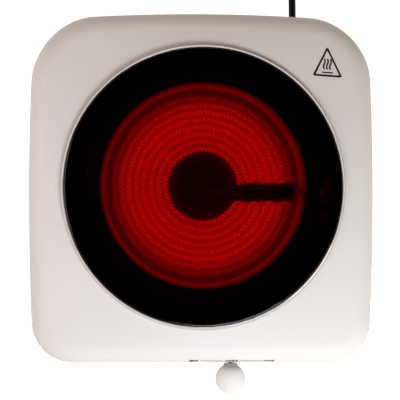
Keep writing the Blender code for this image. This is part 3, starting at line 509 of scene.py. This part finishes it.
def ring_towards(outline, radius):
    """A circle round the glass's middle whose points lie towards the outline's points."""
    middle = np.array([0, HOUSING_Y])
    return unit(outline - middle) * radius + middle


def housing_rows():
    """Rows of the pressed shell, from the rim up, as (plan, height).

    The wall leans in by its draft; the edge is an arc from the wall's lean to level; the top
    rises in a shallow crown, a parabola, to the seat, and ends at the opening.
    """
    rows = [(housing_outline(0.00035), RIM_Z), (housing_outline(0.0), RIM_Z + 0.0004)]
    wall_top = EDGE_Z - EDGE_ROUND + EDGE_ROUND * sin(WALL_DRAFT)
    for share in np.linspace(0, 1, 8)[1:-1]:
        z = RIM_Z + (wall_top - RIM_Z) * share
        rows.append((housing_outline((z - RIM_Z) * tan(WALL_DRAFT)), z))
    for angle in np.linspace(WALL_DRAFT, pi / 2, 13):
        rows.append((housing_outline(EDGE_INSET - EDGE_ROUND * cos(angle)),
                     EDGE_Z - EDGE_ROUND + EDGE_ROUND * sin(angle)))
    edge = rows[-1][0]
    seat = ring_towards(edge, SEAT_R)
    for share in np.linspace(0, 1, 9)[1:]:
        rows.append((edge + (seat - edge) * share,
                     EDGE_Z + (TOP_Z - EDGE_Z) * (1 - (1 - share) ** 2)))
    for radius in (0.1225, 0.1180, 0.1140, OPENING_R):
        rows.append((ring_towards(edge, radius), TOP_Z))
    return rows


def round_punch(start, radius, length, turn=None, sides=48):
    """A round bar to punch a hole with; turn is its axis's rotation."""
    return turned("punch", [(0, length), (radius, length), (radius, 0), (0, 0)], sides, start, turn)


def punched(obj, *punches):
    """Cut holes through a piece and leave nothing of the punches behind."""
    for punch in punches:
        hole = obj.modifiers.new(punch.name, "BOOLEAN")
        hole.operation = "DIFFERENCE"
        hole.object = punch
    obj.data = bpy.data.meshes.new_from_object(
        obj.evaluated_get(bpy.context.evaluated_depsgraph_get()))
    obj.modifiers.clear()
    for punch in punches:
        bpy.data.objects.remove(punch, do_unlink=True)
    obj.data.shade_smooth()
    obj.data.set_sharp_from_angle(angle=radians(40))
    return obj


def sheet_metal(obj):
    """Give an open surface the sheet's thickness, inwards."""
    wall = obj.modifiers.new("sheet", "SOLIDIFY")
    wall.thickness = SHEET
    wall.offset = -1.0
    wall.use_even_offset = True
    return obj


def at_heights(rows):
    """A grid of points from rows of (plan, height)."""
    return np.stack([np.column_stack([plan, np.full(len(plan), z)]) for plan, z in rows])


pressed_top = sheet_metal(skin("pressed_top", at_heights(housing_rows()), 35))
punched(pressed_top, round_punch((KNOB_X, KNOB_Y, KNOB_Z), 0.0060, 0.0235, ALONG_Y))

enamel = Finish("white_enamel", specular_ior_level=0.35)
peel = enamel.start.grain(420.0, 2.0, 0.45)
fire = enamel.start.grain(14.0, 3.0, 0.5)
specks = enamel.start.grain(2200.0, 1.0).step(0.70, 0.78)
tone = fire.mixed((0.760, 0.735, 0.715), (0.790, 0.768, 0.750))
tone = (specks * 0.25).mixed(tone, (0.55, 0.51, 0.48))
# Inside LEDGE_R, under the ring and the glass, the enamel is painted near black: painted shade.
outside = enamel.start.round_axis(HOUSING_Y)[3].step(LEDGE_R, LEDGE_R + 0.0004)
enamel.link("Base Color", outside.mixed((0.012, 0.012, 0.014), tone))
enamel.link("Roughness", fire * 0.10 + (peel * 0.08 + 0.42))
enamel.bump(peel, 0.00006, 0.6)
finished(pressed_top, enamel, replaces=("top_housing",))

# ---- Printed marks ----
# A straight scale over the knob, with no lettering: an open ring and a bar for off, and two thin
# lines that end in four growing ticks each. A small heat sign is at the back right. Both are thin
# black screen prints on the enamel.
PRINT_LIFT = 0.00006
PRINT_THICKNESS = 0.00012
SCALE_TURN = 22                     # degrees round the housing's edge, from level up
LINE_WIDTH = 0.00042
TICK_WIDTH = 0.00170
ink = Finish("black_ink", specular_ior_level=0.25)
ink.mottle(ink.start.grain(3000.0, 2.0), (0.003, 0.0025, 0.0025), (0.008, 0.007, 0.007), 0.42, 0.2)


def left_of(headings):
    """Each heading turned to the left by a quarter."""
    return np.stack([-headings[:, 1], headings[:, 0]], axis=1)


def stroke_points(line, width, closed=False):
    """A print stroke in its own plane: a line of (x, y) points widened by width.

    Each side is the line moved half the width along the mean of its neighbours' normals.
    """
    line = np.asarray(line, float)
    before = np.roll(line, 1, axis=0)
    after = np.roll(line, -1, axis=0)
    if not closed:
        before[0], after[-1] = line[0], line[-1]
    one, two = line - before, after - line
    if not closed:
        one[0], two[-1] = two[0], one[-1]
    one, two = unit(one), unit(two)
    normal = left_of(unit(one + two))
    mitre = 1 / np.clip((normal * left_of(two)).sum(1), 0.4, 1)
    half = normal * (width / 2 * mitre)[:, None]
    return line - half, line + half


def capped(points):
    """Close a tube of points: at each end comes a row that lies in the end row's middle."""
    ends = [np.repeat(row.mean(1, keepdims=True), points.shape[1], 1)
            for row in (points[:1], points[-1:])]
    return np.concatenate([ends[0], points, ends[1]])


def printed(name, strokes, settle):
    """Lay strokes on the enamel: settle turns (x, y, lift) in the print's plane into a place."""
    made = []
    for index, (line, width, closed) in enumerate(strokes):
        low, high = stroke_points(line, width, closed)
        lift = PRINT_LIFT + PRINT_THICKNESS
        rows = [(low, 0.0), (low, lift), (high, lift), (high, 0.0)]
        points = np.stack([settle(side[:, 0], side[:, 1], h) for side, h in rows], axis=1)
        points = points if closed else capped(points)
        made.append(skin(f"{name}_{index}", points, 30, closed))
    joined = bmesh.new()
    for piece in made:
        joined.from_mesh(piece.data)
        bpy.data.objects.remove(piece, do_unlink=True)
    bmesh.ops.recalc_face_normals(joined, faces=joined.faces)
    data = bpy.data.meshes.new(name)
    joined.to_mesh(data)
    joined.free()
    return in_scene(name, data)


def on_front_edge(x, y, lift):
    """Place on the front edge's round: y runs up the arc from SCALE_TURN, lift goes outwards."""
    angle = radians(SCALE_TURN) + y / EDGE_ROUND
    inset = EDGE_INSET - (EDGE_ROUND + lift) * np.cos(angle)
    reach = -(HALF_DEPTH - inset) + HOUSING_Y
    return np.stack([x, reach, EDGE_Z - EDGE_ROUND + (EDGE_ROUND + lift) * np.sin(angle)], axis=1)


off_ring = on_circle(np.linspace(0, 2 * pi, 28, endpoint=False), 0.0013, -0.0094)
scale_marks = [(off_ring, 0.00150, True),
               ([(-0.0070, 0), (-0.0052, 0), (-0.0038, 0)], 0.00280, False)]
for line_start, line_end, first_tick, tick_pitch in (
        (-0.0016, 0.0165, 0.0210, 0.0028), (0.0330, 0.0515, 0.0538, 0.0024)):
    line = [(x, 0) for x in np.linspace(line_start, line_end, 20)]
    scale_marks.append((line, LINE_WIDTH, False))
    for step in range(4):
        tick = first_tick + tick_pitch * step
        reach = 0.0012 + 0.0002 * step
        scale_marks.append(([(tick, -reach), (tick, 0), (tick, reach)], TICK_WIDTH, False))
finished(printed("power_scale", scale_marks, on_front_edge), ink)

SIGN_MIDDLE = (0.1074, 0.1212)      # under the sign's middle, in plan
SIGN_ASKEW = -0.07                  # the print sits a little askew: its height falls along X
SIGN_TOP = 0.0121
SIGN_FOOT = -0.0115
SIGN_HALF = 0.0117
WAVE_FOOT = -0.0061
WAVE_HIGH = 0.0091


def rounded_triangle():
    """The sign's frame: a triangle with its corners rounded off."""
    corners = [(0, SIGN_TOP), (-SIGN_HALF, SIGN_FOOT), (SIGN_HALF, SIGN_FOOT)]
    return rounded([corners[-1], *corners, corners[0]], [0.00096] * 3, 5)[1:-1]


def top_height(x, y):
    """Height of the crowned top at a place outside the ring, by the housing's own parabola."""
    edge = housing_outline(EDGE_INSET) - np.array([0, HOUSING_Y])
    edge_angle = np.arctan2(edge[:, 1], edge[:, 0])
    edge_reach = np.hypot(edge[:, 0], edge[:, 1])
    order = np.argsort(edge_angle)
    reach = np.interp(np.arctan2(y - HOUSING_Y, x), edge_angle[order], edge_reach[order])
    share = np.clip((reach - np.hypot(x, y - HOUSING_Y)) / (reach - SEAT_R), 0, 1)
    return EDGE_Z + (TOP_Z - EDGE_Z) * (1 - (1 - share) ** 2)


def on_top(x, y, lift):
    """Place on the crowned top round the sign's middle."""
    px, py = x + SIGN_MIDDLE[0], y + SIGN_MIDDLE[1] + SIGN_ASKEW * x
    return np.stack([px, py, top_height(px, py) + lift], axis=1)


wave_y = np.linspace(WAVE_FOOT, WAVE_FOOT + WAVE_HIGH, 22)
sign_strokes = [(rounded_triangle(), 0.00160, True),
                ([(x, -0.0088) for x in np.linspace(-0.0047, 0.0047, 6)], 0.00105, False)]
for middle in (-0.0027, 0.0, 0.0027):
    wave_x = middle - 0.00070 * np.sin((wave_y - WAVE_FOOT) / WAVE_HIGH * 2 * pi)
    sign_strokes.append((np.stack([wave_x, wave_y], axis=1), 0.00130, False))
finished(printed("heat_sign", sign_strokes, on_top), ink)

# ---- Trim ring, gasket and glass ----
# The plate is black glass-ceramic 4 mm thick, 240 mm across, ground round its edge. It lies on a
# silicone gasket and is framed by a spun, polished stainless ring that slopes down to the enamel.
GLASS_Z = 0.0633
GLASS_TOP = 0.0673
centre = (0, HOUSING_Y, 0)
ring_profile = rounded(
    [(0.1203, 0.0660), (0.1203, 0.0669), (0.1205, 0.0670), (0.1215, 0.0663), (0.1221, 0.0655),
     (0.1227, 0.0643), (0.1232, 0.0629), (0.1232, 0.0623), (0.1225, 0.0623), (0.1203, 0.0623),
     (0.1203, 0.0660)], [0.0001, 0.0001, 0.0005, 0.0006, 0.0008, 0.0003, 0.0002, 0.0002, 0.0002], 3)
trim = Finish("polished_steel", metallic=1.0)
ring_radius = trim.start.round_axis(HOUSING_Y)[3]
lathe_lines = trim.start.node("TexNoise", {"noise_dimensions": "1D"},
                              {"W": ring_radius * 9000.0, "Scale": 1.0, "Detail": 2.0})
smears = trim.start.grain(60.0, 4.0, 0.6)
trim.link("Base Color", smears.mixed((0.66, 0.65, 0.64), (0.80, 0.79, 0.78)))
trim.link("Roughness", smears * 0.07 + (lathe_lines * 0.04 + 0.03))
trim.bump(lathe_lines + smears * 2.0, 0.00001)
finished(turned("spun_ring", ring_profile, 224, centre, crease=45), trim,
         replaces=("trim_ring",))

glass_profile = rounded([(0, GLASS_TOP), (GLASS_R - 0.0009, GLASS_TOP), (GLASS_R, GLASS_TOP - 0.0009),
                         (GLASS_R, GLASS_Z + 0.0002), (GLASS_R - 0.0002, GLASS_Z), (0, GLASS_Z)],
                        [0.0006, 0.0006, 0.0001, 0.0001])
glass_rows = np.concatenate([[(r, GLASS_TOP) for r in np.linspace(0, GLASS_R - 0.0016, 9)],
                             glass_profile[1:-1],
                             [(r, GLASS_Z) for r in np.linspace(GLASS_R - 0.0004, 0, 9)]])
smoked = Finish("black_glass_ceramic", transmission_weight=1.0, roughness=0.035, ior=1.47,
                base_color=(0.12, 0.0040, 0.0060))
wiped = smoked.start.grain(22.0, 5.0, 0.6).step(0.35, 0.8)
smoked.link("Roughness", wiped * 0.03 + 0.02)
finished(turned("glass_ceramic", glass_rows, 192, centre, crease=50), smoked,
         replaces=("glass_plate",))


def dress(finish, *names):
    """Give CAD nodes that stay as they are their finish."""
    for name in names:
        node = nodes[name]
        if not node.material_slots:
            node.data.materials.append(finish.material)
        for place in node.material_slots:
            place.link = "OBJECT"
            place.material = finish.material


silicone = Finish("black_silicone")
silicone.mottle(silicone.start.grain(1500.0, 2.0), (0.014, 0.014, 0.014), (0.026, 0.025, 0.025),
                0.62, 0.2, 0.00003)
dress(silicone, "glass_gasket")

# ---- Heater: insulation, ribbon and limiter ----
# A steel dish holds a pressed fibre disc and a ring of the same board, which touches the glass. A
# corrugated ribbon of resistance alloy stands in the disc in eight tracks and glows. The quartz
# rod of the temperature limiter crosses the gap that the tracks leave towards the right.
HEATER_Y = HOUSING_Y + 0.0012
RIBBON_Z = 0.0463
RIBBON_HEIGHT = 0.0050
TRACKS = 8
FIRST_TRACK = 0.0318
TRACK_PITCH = 0.0063857
GAP_Y = -0.0053                     # middle of the gap between the hairpin bends
GAP_HALF = 0.0083
WAVE_LENGTH = 0.0034
WAVE_SIZE = 0.00165
WAVE_SAMPLES = 10                   # points along one wave
STRIP = 0.00045
LEAD_HALF = 0.0060                  # the two plain leads lie this near the middle of the gap
LEAD_END_X = 0.0806
heater = (0, HEATER_Y, 0)


def ribbon_tracks():
    """The ribbon's mean line: arcs joined by hairpin bends on both sides of the gap."""
    back, front = GAP_Y + GAP_HALF, GAP_Y - GAP_HALF
    bend = TRACK_PITCH / 2
    line = [np.array([(LEAD_END_X, back - 0.0045), (FIRST_TRACK + 0.001, back - 0.0045)])]
    for track in range(TRACKS):
        r = FIRST_TRACK + track * TRACK_PITCH
        first = atan2(back + bend, sqrt(r ** 2 - (back + bend) ** 2))
        last = 2 * pi + atan2(front - bend, sqrt(r ** 2 - (front - bend) ** 2))
        angle = np.linspace(first, last, 60 + 6 * track)
        arc = on_circle(angle, r)
        outward = track % 2 == 0
        line.append(arc if outward else arc[::-1])
        if track < TRACKS - 1:
            y, lean = (front, -bend) if outward else (back, bend)
            start = sqrt(r ** 2 - (y + lean) ** 2)
            end_x = sqrt((r + TRACK_PITCH) ** 2 - (y + lean) ** 2)
            line.append(np.array([(start + 0.0008, y + lean * 0.3), ((start + end_x) / 2, y),
                                  (end_x - 0.0008, y + lean * 0.3)]))
    line.append(np.array([(LEAD_END_X, back + 0.0030)]))
    return np.concatenate(line)


def corrugated_ribbon():
    """The ribbon: a thin strip on edge carried along its tracks, thrown from side to side.

    The mean line is resampled evenly; at arc length s it moves sideways by WAVE_SIZE times the
    sine of 2 pi s over WAVE_LENGTH, which fades out where the line turns tightly. The strip's
    section is STRIP wide, with its upper edge a little narrower.
    """
    line = ribbon_tracks()
    step = np.linalg.norm(np.diff(line, axis=0), axis=1)
    length = np.concatenate([[0], np.cumsum(step)])
    count = int(length[-1] / WAVE_LENGTH * WAVE_SAMPLES)
    s = np.linspace(0, length[-1], count)
    middle = np.stack([np.interp(s, length, line[:, i]) for i in (0, 1)], axis=1)
    heading = unit(np.gradient(middle, axis=0))
    side = left_of(heading)
    turning = np.abs(np.gradient(np.unwrap(np.arctan2(heading[:, 1], heading[:, 0])), s))
    window = np.ones(WAVE_SAMPLES) / WAVE_SAMPLES
    tight = np.convolve(turning, window, mode="same")
    size = WAVE_SIZE * (1 - 0.6 * np.clip((tight - 40) / 200, 0, 1))
    plain = (np.abs(middle[:, 1] - GAP_Y) < LEAD_HALF) & (middle[:, 0] > 0.030)
    size = size * (1 - 0.92 * np.convolve(plain, window, mode="same"))
    wobble = 1 + 0.14 * np.sin(s * 61.0) + 0.10 * np.sin(s * 773.0)
    wave = middle + side * (size * np.sin(2 * pi * s / WAVE_LENGTH) * wobble)[:, None]
    across = left_of(unit(np.gradient(wave, axis=0)))
    lean = 0.00022 * np.sin(s * 290.0)
    top_z = RIBBON_Z + RIBBON_HEIGHT
    corners = [(-0.5, RIBBON_Z, 0), (-0.42, top_z, 1), (0.42, top_z, 1), (0.5, RIBBON_Z, 0)]
    rows = []
    for share, z, up in corners:
        flat = wave + across * (share * STRIP + lean * up)[:, None]
        rows.append(np.column_stack([flat[:, 0], flat[:, 1] + HEATER_Y, np.full(count, z)]))
    return skin("corrugated_ribbon", capped(np.stack(rows, axis=1)[:, ::-1]), 50)


glow = Finish("ribbon_alloy", roughness=0.55, metallic=0.6, emission_strength=7.0)
ribbon_x, ribbon_y, ribbon_z, ribbon_r = glow.start.round_axis(HEATER_Y)
hot = glow.start.grain(330.0, 3.0, 0.6)
glow.link("Base Color", hot.mixed((0.20, 0.08, 0.05), (0.32, 0.14, 0.08)))
off_gap = (ribbon_y - GAP_Y).maths("ABSOLUTE").step(LEAD_HALF - 0.0004, LEAD_HALF + 0.0012)
glowing = off_gap.maths("MAXIMUM", 1 - ribbon_x.step(0.020, 0.026))
brightness = ((ribbon_z.step(RIBBON_Z, RIBBON_Z + RIBBON_HEIGHT) * 0.75 + 0.18)
              * (1 - ribbon_r.step(0.062, 0.082) * 0.80) * (glowing * 0.97 + 0.03))
colour = (hot * 3.0 - 1.0).mixed((0.42, 0.030, 0.018), (1.0, 0.120, 0.060))
glow.link("Emission Color", brightness.mixed((0.0, 0.0, 0.0), colour))
finished(corrugated_ribbon(), glow, replaces=("heating_ribbon",))


def board(name, painted_glow_stops, reach):
    """Pressed vermiculite board in a dark brown, which is painted shade; it has a painted glow,
    the ribbon's light on it, by the distance from its middle.

    painted_glow_stops are (radius, brightness) pairs, up to reach; the gap towards +X stays dark.
    """
    made = Finish(name, roughness=0.95, emission_strength=4.0)
    x, y, _, radius = made.start.round_axis(HEATER_Y)
    flakes = made.start.node("TexVoronoi", None, {"Vector": made.start.place(), "Scale": 700.0},
                             "Distance")
    fibre = made.start.grain(1200.0, 3.0, 0.6)
    # The dark brown base colour is painted shade; the board itself is pale.
    made.mottle(fibre, (0.090, 0.072, 0.060), (0.170, 0.145, 0.122))
    made.bump(flakes + fibre, 0.0002)
    torn = made.start.grain(190.0, 3.0, 0.6) * 0.006 - 0.003
    off_gap = ((y - GAP_Y).maths("ABSOLUTE") + torn).step(GAP_HALF - 0.002, GAP_HALF + 0.002)
    mask = off_gap.maths("MAXIMUM", 1 - x.step(0.016, 0.030))
    mask = mask.maths("MAXIMUM", radius.step(0.0780, 0.0810) * 0.75)
    # Painted light: the ribbon's glow on the board by radius, with a painted ripple that is brighter
    # over the tracks.
    profile = made.start.node("ValToRGB", {"stops": [(r / reach, b) for r, b in painted_glow_stops]},
                              {0: radius / reach})
    ripple = ((radius - FIRST_TRACK) * (2 * pi / TRACK_PITCH)).maths("COSINE")
    painted_track_ripple = 1 + ripple * 0.10 * (1 - radius.step(0.0790, 0.0800)) * radius.step(0.028, 0.030)
    level = profile * mask * painted_track_ripple * (fibre * 0.5 + 0.75)
    made.link("Emission Color", level.mixed((0.0, 0.0, 0.0), (1.0, 0.030, 0.030)))
    return made


disc_board = board("insulation_bed", [
    (0.0, 0.001), (0.0250, 0.002), (0.0275, 0.010), (0.0295, 0.10), (0.0325, 0.42),
    (0.0400, 0.56), (0.0560, 0.61), (0.0660, 0.50), (0.0740, 0.27), (0.0790, 0.13),
    (0.0810, 0.080), (0.0840, 0.12)], 0.0900)
wall_board = board("insulation_rim", [
    (0.0, 0.0), (0.0832, 0.17), (0.0842, 0.27), (0.0852, 0.30), (0.0864, 0.20),
    (0.0876, 0.07), (0.0886, 0.02), (0.0893, 0.0), (0.1000, 0.0)], 0.1010)
disc_profile = [*((r, 0.0460) for r in (0, 0.0200, 0.0400, 0.0600, 0.0840, 0.1000)),
                (0.1002, 0.0458), (0.1002, 0.0323), (0.1000, 0.0321), (0, 0.0321)]
finished(turned("fibre_disc", disc_profile, 144, heater), disc_board,
         replaces=("insulation_disc",))
wall_profile = rounded([(0.0950, 0.0630), (0.1002, 0.0630), (0.1002, 0.0463), (0.0841, 0.0463),
                        (0.0862, 0.0545), (0.0888, 0.0630), (0.0950, 0.0630)],
                       [0.0006, 0.0002, 0.0003, 0.0100, 0.0008])
fibre_rim = turned("fibre_rim", wall_profile, 144, heater)
ALONG_X = Vector((1, 0, 0)).to_track_quat("Z", "Y")
ROD_PLACE = Vector((0.006, HEATER_Y + GAP_Y, 0.056))
punched(fibre_rim, round_punch((0.078, ROD_PLACE.y, ROD_PLACE.z), 0.0034, 0.030, ALONG_X))
finished(fibre_rim, wall_board, replaces=("insulation_wall",))

ROD_LENGTH = 0.0962
rod_profile = rounded([(0, ROD_LENGTH), (0.0028, ROD_LENGTH), (0.0028, 0.0), (0, 0.0)],
                      [0.0003, 0.0012])
quartz = Finish("quartz", specular_ior_level=0.0, emission_strength=1.0)
# The rod's glow is painted light: faint red where it lies over the glowing middle of the disc, bright
# red from where it enters the glowing rim outwards.
rod_x = quartz.start.axes()[0]
painted_glow_near_middle = 1 - rod_x.step(0.028, 0.038)
quartz.link("Emission Color", (painted_glow_near_middle * 0.16 + rod_x.step(0.0770, 0.0815) * 0.9).mixed(
    (0.0, 0.0, 0.0), (0.36, 0.010, 0.010)))
quartz.mottle(quartz.start.grain(400.0, 3.0), (0.060, 0.048, 0.042), (0.120, 0.098, 0.086),
              0.65, 0.2)
finished(turned("quartz_rod", rod_profile, 32, ROD_PLACE, ALONG_X), quartz,
         replaces=("limiter_rod",))

steatite = Finish("steatite")
steatite.mottle(steatite.start.grain(700.0, 4.0, 0.6), (0.66, 0.61, 0.52), (0.78, 0.74, 0.66),
                0.48, 0.25, 0.00006)
dress(steatite, "limiter_head", "heater_terminal_block", "cord_clamp", "mains_terminal_block")

zinc = Finish("zinc_plate", metallic=1.0)
spangle = zinc.start.node("TexVoronoi", None, {"Vector": zinc.start.place(), "Scale": 260.0},
                          "Color")
zinc_shade = spangle.axes(spangle)[0]
zinc_film = zinc.start.grain(80.0, 4.0, 0.6)
zinc.link("Base Color", zinc_shade.mixed((0.56, 0.57, 0.58), (0.68, 0.68, 0.67)))
zinc.link("Roughness", zinc_shade * 0.10 + (zinc_film * 0.20 + 0.24))
zinc.bump(zinc_film, 0.00004)
dress(zinc, "heater_dish", "heat_shield", "heater_crossbar", "heater_spring_1",
      "heater_spring_2", "heater_spring_3", *(f"support_post_{i}" for i in range(1, 5)))

# ---- Knob and what turns with it ----
# A ball knob turned from white thermoset on a short neck, polished, with a fine raised pointer. A
# spring sleeve in it grips the steel shaft of the regulator, which carries a moulded cam.
KNOB_R = 0.0133
NECK_R = 0.0060
KNOB_AXIS = Vector((KNOB_X, KNOB_Y, KNOB_Z))
neck_meets = sqrt(KNOB_R ** 2 - NECK_R ** 2)
neck_end = -HALF_DEPTH + (KNOB_Z - NECK_R - RIM_Z) * tan(WALL_DRAFT) - 0.0006 + HOUSING_Y - KNOB_Y
collar = [(NECK_R, neck_end), (NECK_R, neck_meets + 0.0010), (NECK_R + 0.0003, neck_meets + 0.0002)]
ball_angle = np.linspace(pi / 2 - atan2(neck_meets, NECK_R + 0.0008), pi, 40)
ball = [(KNOB_R * sin(a), KNOB_R * cos(a)) for a in ball_angle]
knob_profile = [(0, 0.002), (0.0044, 0.002), (0.0044, neck_end - 0.0003), (0.0047, neck_end),
                (NECK_R - 0.0003, neck_end), (NECK_R, neck_end - 0.0003), *collar[1:], *ball]
knob_profile[-1] = (0, -KNOB_R)
thermoset = Finish("white_thermoset", specular_ior_level=0.3)
handled = thermoset.start.grain(160.0, 4.0, 0.6)
white = handled.mixed((0.80, 0.78, 0.765), (0.76, 0.735, 0.715))
# Towards its neck the ball turns grey: painted shade, where the housing's edge shades it.
painted_neck_shade = thermoset.start.axes()[1].step(KNOB_Y + 0.0050, KNOB_Y + 0.0140)
thermoset.link("Base Color", painted_neck_shade.mixed(white, (0.30, 0.28, 0.27)))
thermoset.link("Roughness", handled * 0.12 + 0.38)
thermoset.bump(thermoset.start.grain(500.0, 2.0), 0.00002)
finished(turned("ball_knob", knob_profile, 72, KNOB_AXIS, ALONG_Y, crease=50), thermoset,
         body="knob", replaces=("knob",))


def pointer_ridge():
    """A raised line over the ball's top: an arc of the ball carried along with a small section.

    The section is half a sine wave up to 0.9 mm wide. It stands 0.2 mm over the ball in the
    middle of the line, and sinks into the ball at both ends, of which the first is closed.
    """
    along = np.linspace(radians(38), radians(78), 20)
    across = np.linspace(-1, 1, 9)
    a, c = np.meshgrid(along, across, indexing="ij")
    swell = np.sin((a - along[0]) / (along[-1] - along[0]) * pi) ** 0.5
    reach = KNOB_R - 0.0002 + (0.0004 * np.cos(c * pi / 2)) * swell
    x = c * 0.00045 * (0.4 + 0.6 * swell)
    over, under = (np.stack([x, r * np.cos(a), r * np.sin(a)], axis=-1)
                   for r in (reach, KNOB_R - 0.0006))
    points = np.concatenate([over, under[:, ::-1]], axis=1)
    points = capped(points)[:-1]
    return skin("pointer_ridge", points + np.array(KNOB_AXIS), 50)


finished(pointer_ridge(), thermoset, body="knob")
dress(zinc, "knob_sleeve", "regulator_shaft")

phenolic = Finish("phenolic")
phenolic.mottle(phenolic.start.grain(1100.0, 3.0, 0.6), (0.060, 0.038, 0.026),
                (0.115, 0.078, 0.055), 0.33, 0.25, 0.00004)
dress(phenolic, "control_cam")

# ---- Energy regulator ----
# A phenolic case on a zinc-plated bracket, held by a nut on its brass bushing. In it a brass lever
# follows the cam, rocks on a steel pin and works on a bimetal strip.
brass = Finish("brass", metallic=1.0)
brass.mottle(brass.start.grain(300.0, 4.0, 0.6), (0.72, 0.52, 0.24), (0.56, 0.38, 0.17), 0.20, 0.25)
dress(phenolic, "regulator_case", "regulator_cover")
dress(brass, "regulator_bushing", "follower_lever", "bimetal_strip", "earth_screw")
dress(zinc, "regulator_bracket", "regulator_nut", "follower_pin", "clamp_screw_1", "clamp_screw_2")

# ---- Bottom cover, feet and screws ----
# A plinth pressed from 1.2 mm steel in dark enamel, with six slots that let cooling air in. Its
# flange lies under the housing's rim. Four rubber feet are screwed through it to the posts above.
PLINTH_INSET = 0.022
FLOOR_Z = 0.0060
FLANGE_Z = RIM_Z - 0.0003 - SHEET
VENT_PITCH = 0.011
FOOT_HEIGHT = 0.0057
FOOT_R = 0.011
foot_places = [(sx * 0.102, sy * 0.104 + HOUSING_Y) for sy in (-1, 1) for sx in (-1, 1)]
plinth_rows = [(housing_outline(0.0006), FLANGE_Z), (housing_outline(0.0090), FLANGE_Z)]
for angle in np.linspace(0, pi / 2, 5):
    plinth_rows.append((housing_outline(PLINTH_INSET - 0.0015 * (1 - sin(angle))),
                        FLANGE_Z - 0.0015 * (1 - cos(angle))))
for angle in np.linspace(0, pi / 2, 6):
    plinth_rows.append((housing_outline(PLINTH_INSET + 0.0020 * (1 - cos(angle))),
                        FLOOR_Z + 0.0020 * (1 - sin(angle))))
rim = plinth_rows[-1][0]
for radius in (0.110, 0.080, 0.040):
    plinth_rows.append((ring_towards(rim, radius), FLOOR_Z))
plinth_rows.append((np.repeat([[0, HOUSING_Y]], len(rim), 0), FLOOR_Z))
plinth = sheet_metal(skin("plinth_pan", at_heights(plinth_rows)[:, ::-1], 35))


def slot_punch(middle_y, straight=0.028, end_r=0.002):
    """A slot-shaped punch: a long hole with round ends, carried up through the floor."""
    angle = np.linspace(0, 2 * pi, 32, endpoint=False)
    flat = on_circle(angle, end_r, np.sign(np.cos(angle)) * straight, middle_y + HOUSING_Y)
    middle = np.repeat([[0, middle_y + HOUSING_Y]], len(flat), 0)
    low, high = FLOOR_Z - 0.003, FLOOR_Z + 0.003
    rows = [(middle, low), (flat, low), (flat, high), (middle, high)]
    return skin("slot_punch", at_heights(rows))


punched(plinth,
        *(round_punch((x, y, FLOOR_Z - 0.002), 0.0025, 0.006, sides=24) for x, y in foot_places),
        round_punch((GLAND_END.x, GLAND_BACK - 0.006, GLAND_END.z), 0.0048, 0.012, ALONG_Y, 40),
        *(slot_punch((i - 2.5) * VENT_PITCH) for i in range(6)))
dark = Finish("dark_enamel")
dark_peel = dark.start.grain(500.0, 2.0)
dust = dark.start.grain(30.0, 4.0, 0.6).step(0.4, 0.8)
dark.link("Base Color", dust.mixed((0.030, 0.030, 0.031), (0.060, 0.058, 0.056)))
dark.link("Roughness", dark_peel * 0.15 + (dust * 0.15 + 0.36))
dark.bump(dark_peel, 0.00006)
finished(plinth, dark, replaces=("bottom_cover",))

rubber = Finish("rubber")
rubber.mottle(rubber.start.grain(240.0, 4.0, 0.6), (0.028, 0.028, 0.028), (0.060, 0.058, 0.056),
              0.7, 0.2)
rubber.bump(rubber.start.grain(1800.0, 2.0), 0.00004)
foot_profile = rounded([(0.0068, FOOT_HEIGHT), (FOOT_R, FOOT_HEIGHT), (FOOT_R - 0.001, 0),
                        (0.0045, 0), (0.0045, 0.003), (0.0025, 0.003), (0.0025, FOOT_HEIGHT),
                        (0.0068, FOOT_HEIGHT)], [0.0006, 0.0012, 0.0006, 0.0003, 0.0002, 0.0002])
for number, (x, y) in enumerate(foot_places, start=1):
    finished(turned(f"rubber_foot_{number}", foot_profile, 48, (x, y, 0)), rubber,
             replaces=(f"foot_{number}",))
    dress(zinc, f"foot_screw_{number}")

# ---- Cord end and inner wiring ----
# Inside the plinth the cord runs through a steatite clamp to the terminal block. Silicone-sleeved
# wires in brown, blue and green-yellow run on to the regulator, the heater and the earth screw.
dress(cord_pvc, "cord_end")


def wire_sleeve(name, colour, stripe=None):
    """A wire's silicone sleeve in its colour, with a second colour in stripes if one is given."""
    made = Finish(name)
    powder = made.start.grain(1400.0, 2.0)
    shade = powder.mixed(colour, tuple(c * 0.72 for c in colour))
    if stripe:
        band = made.start.node("TexWave", {"wave_type": "BANDS", "bands_direction": "DIAGONAL"},
                               {"Vector": made.start.place(), "Scale": 90.0})
        shade = band.step(0.45, 0.55).mixed(shade, stripe)
    made.link("Base Color", shade)
    made.link("Roughness", powder * 0.2 + 0.4)
    return made


dress(wire_sleeve("wire_brown", (0.24, 0.085, 0.035)), "wire_live", "wire_limiter")
dress(wire_sleeve("wire_blue", (0.035, 0.11, 0.42)), "wire_neutral")
dress(wire_sleeve("wire_green_yellow", (0.07, 0.33, 0.05), (0.62, 0.52, 0.04)), "wire_earth")
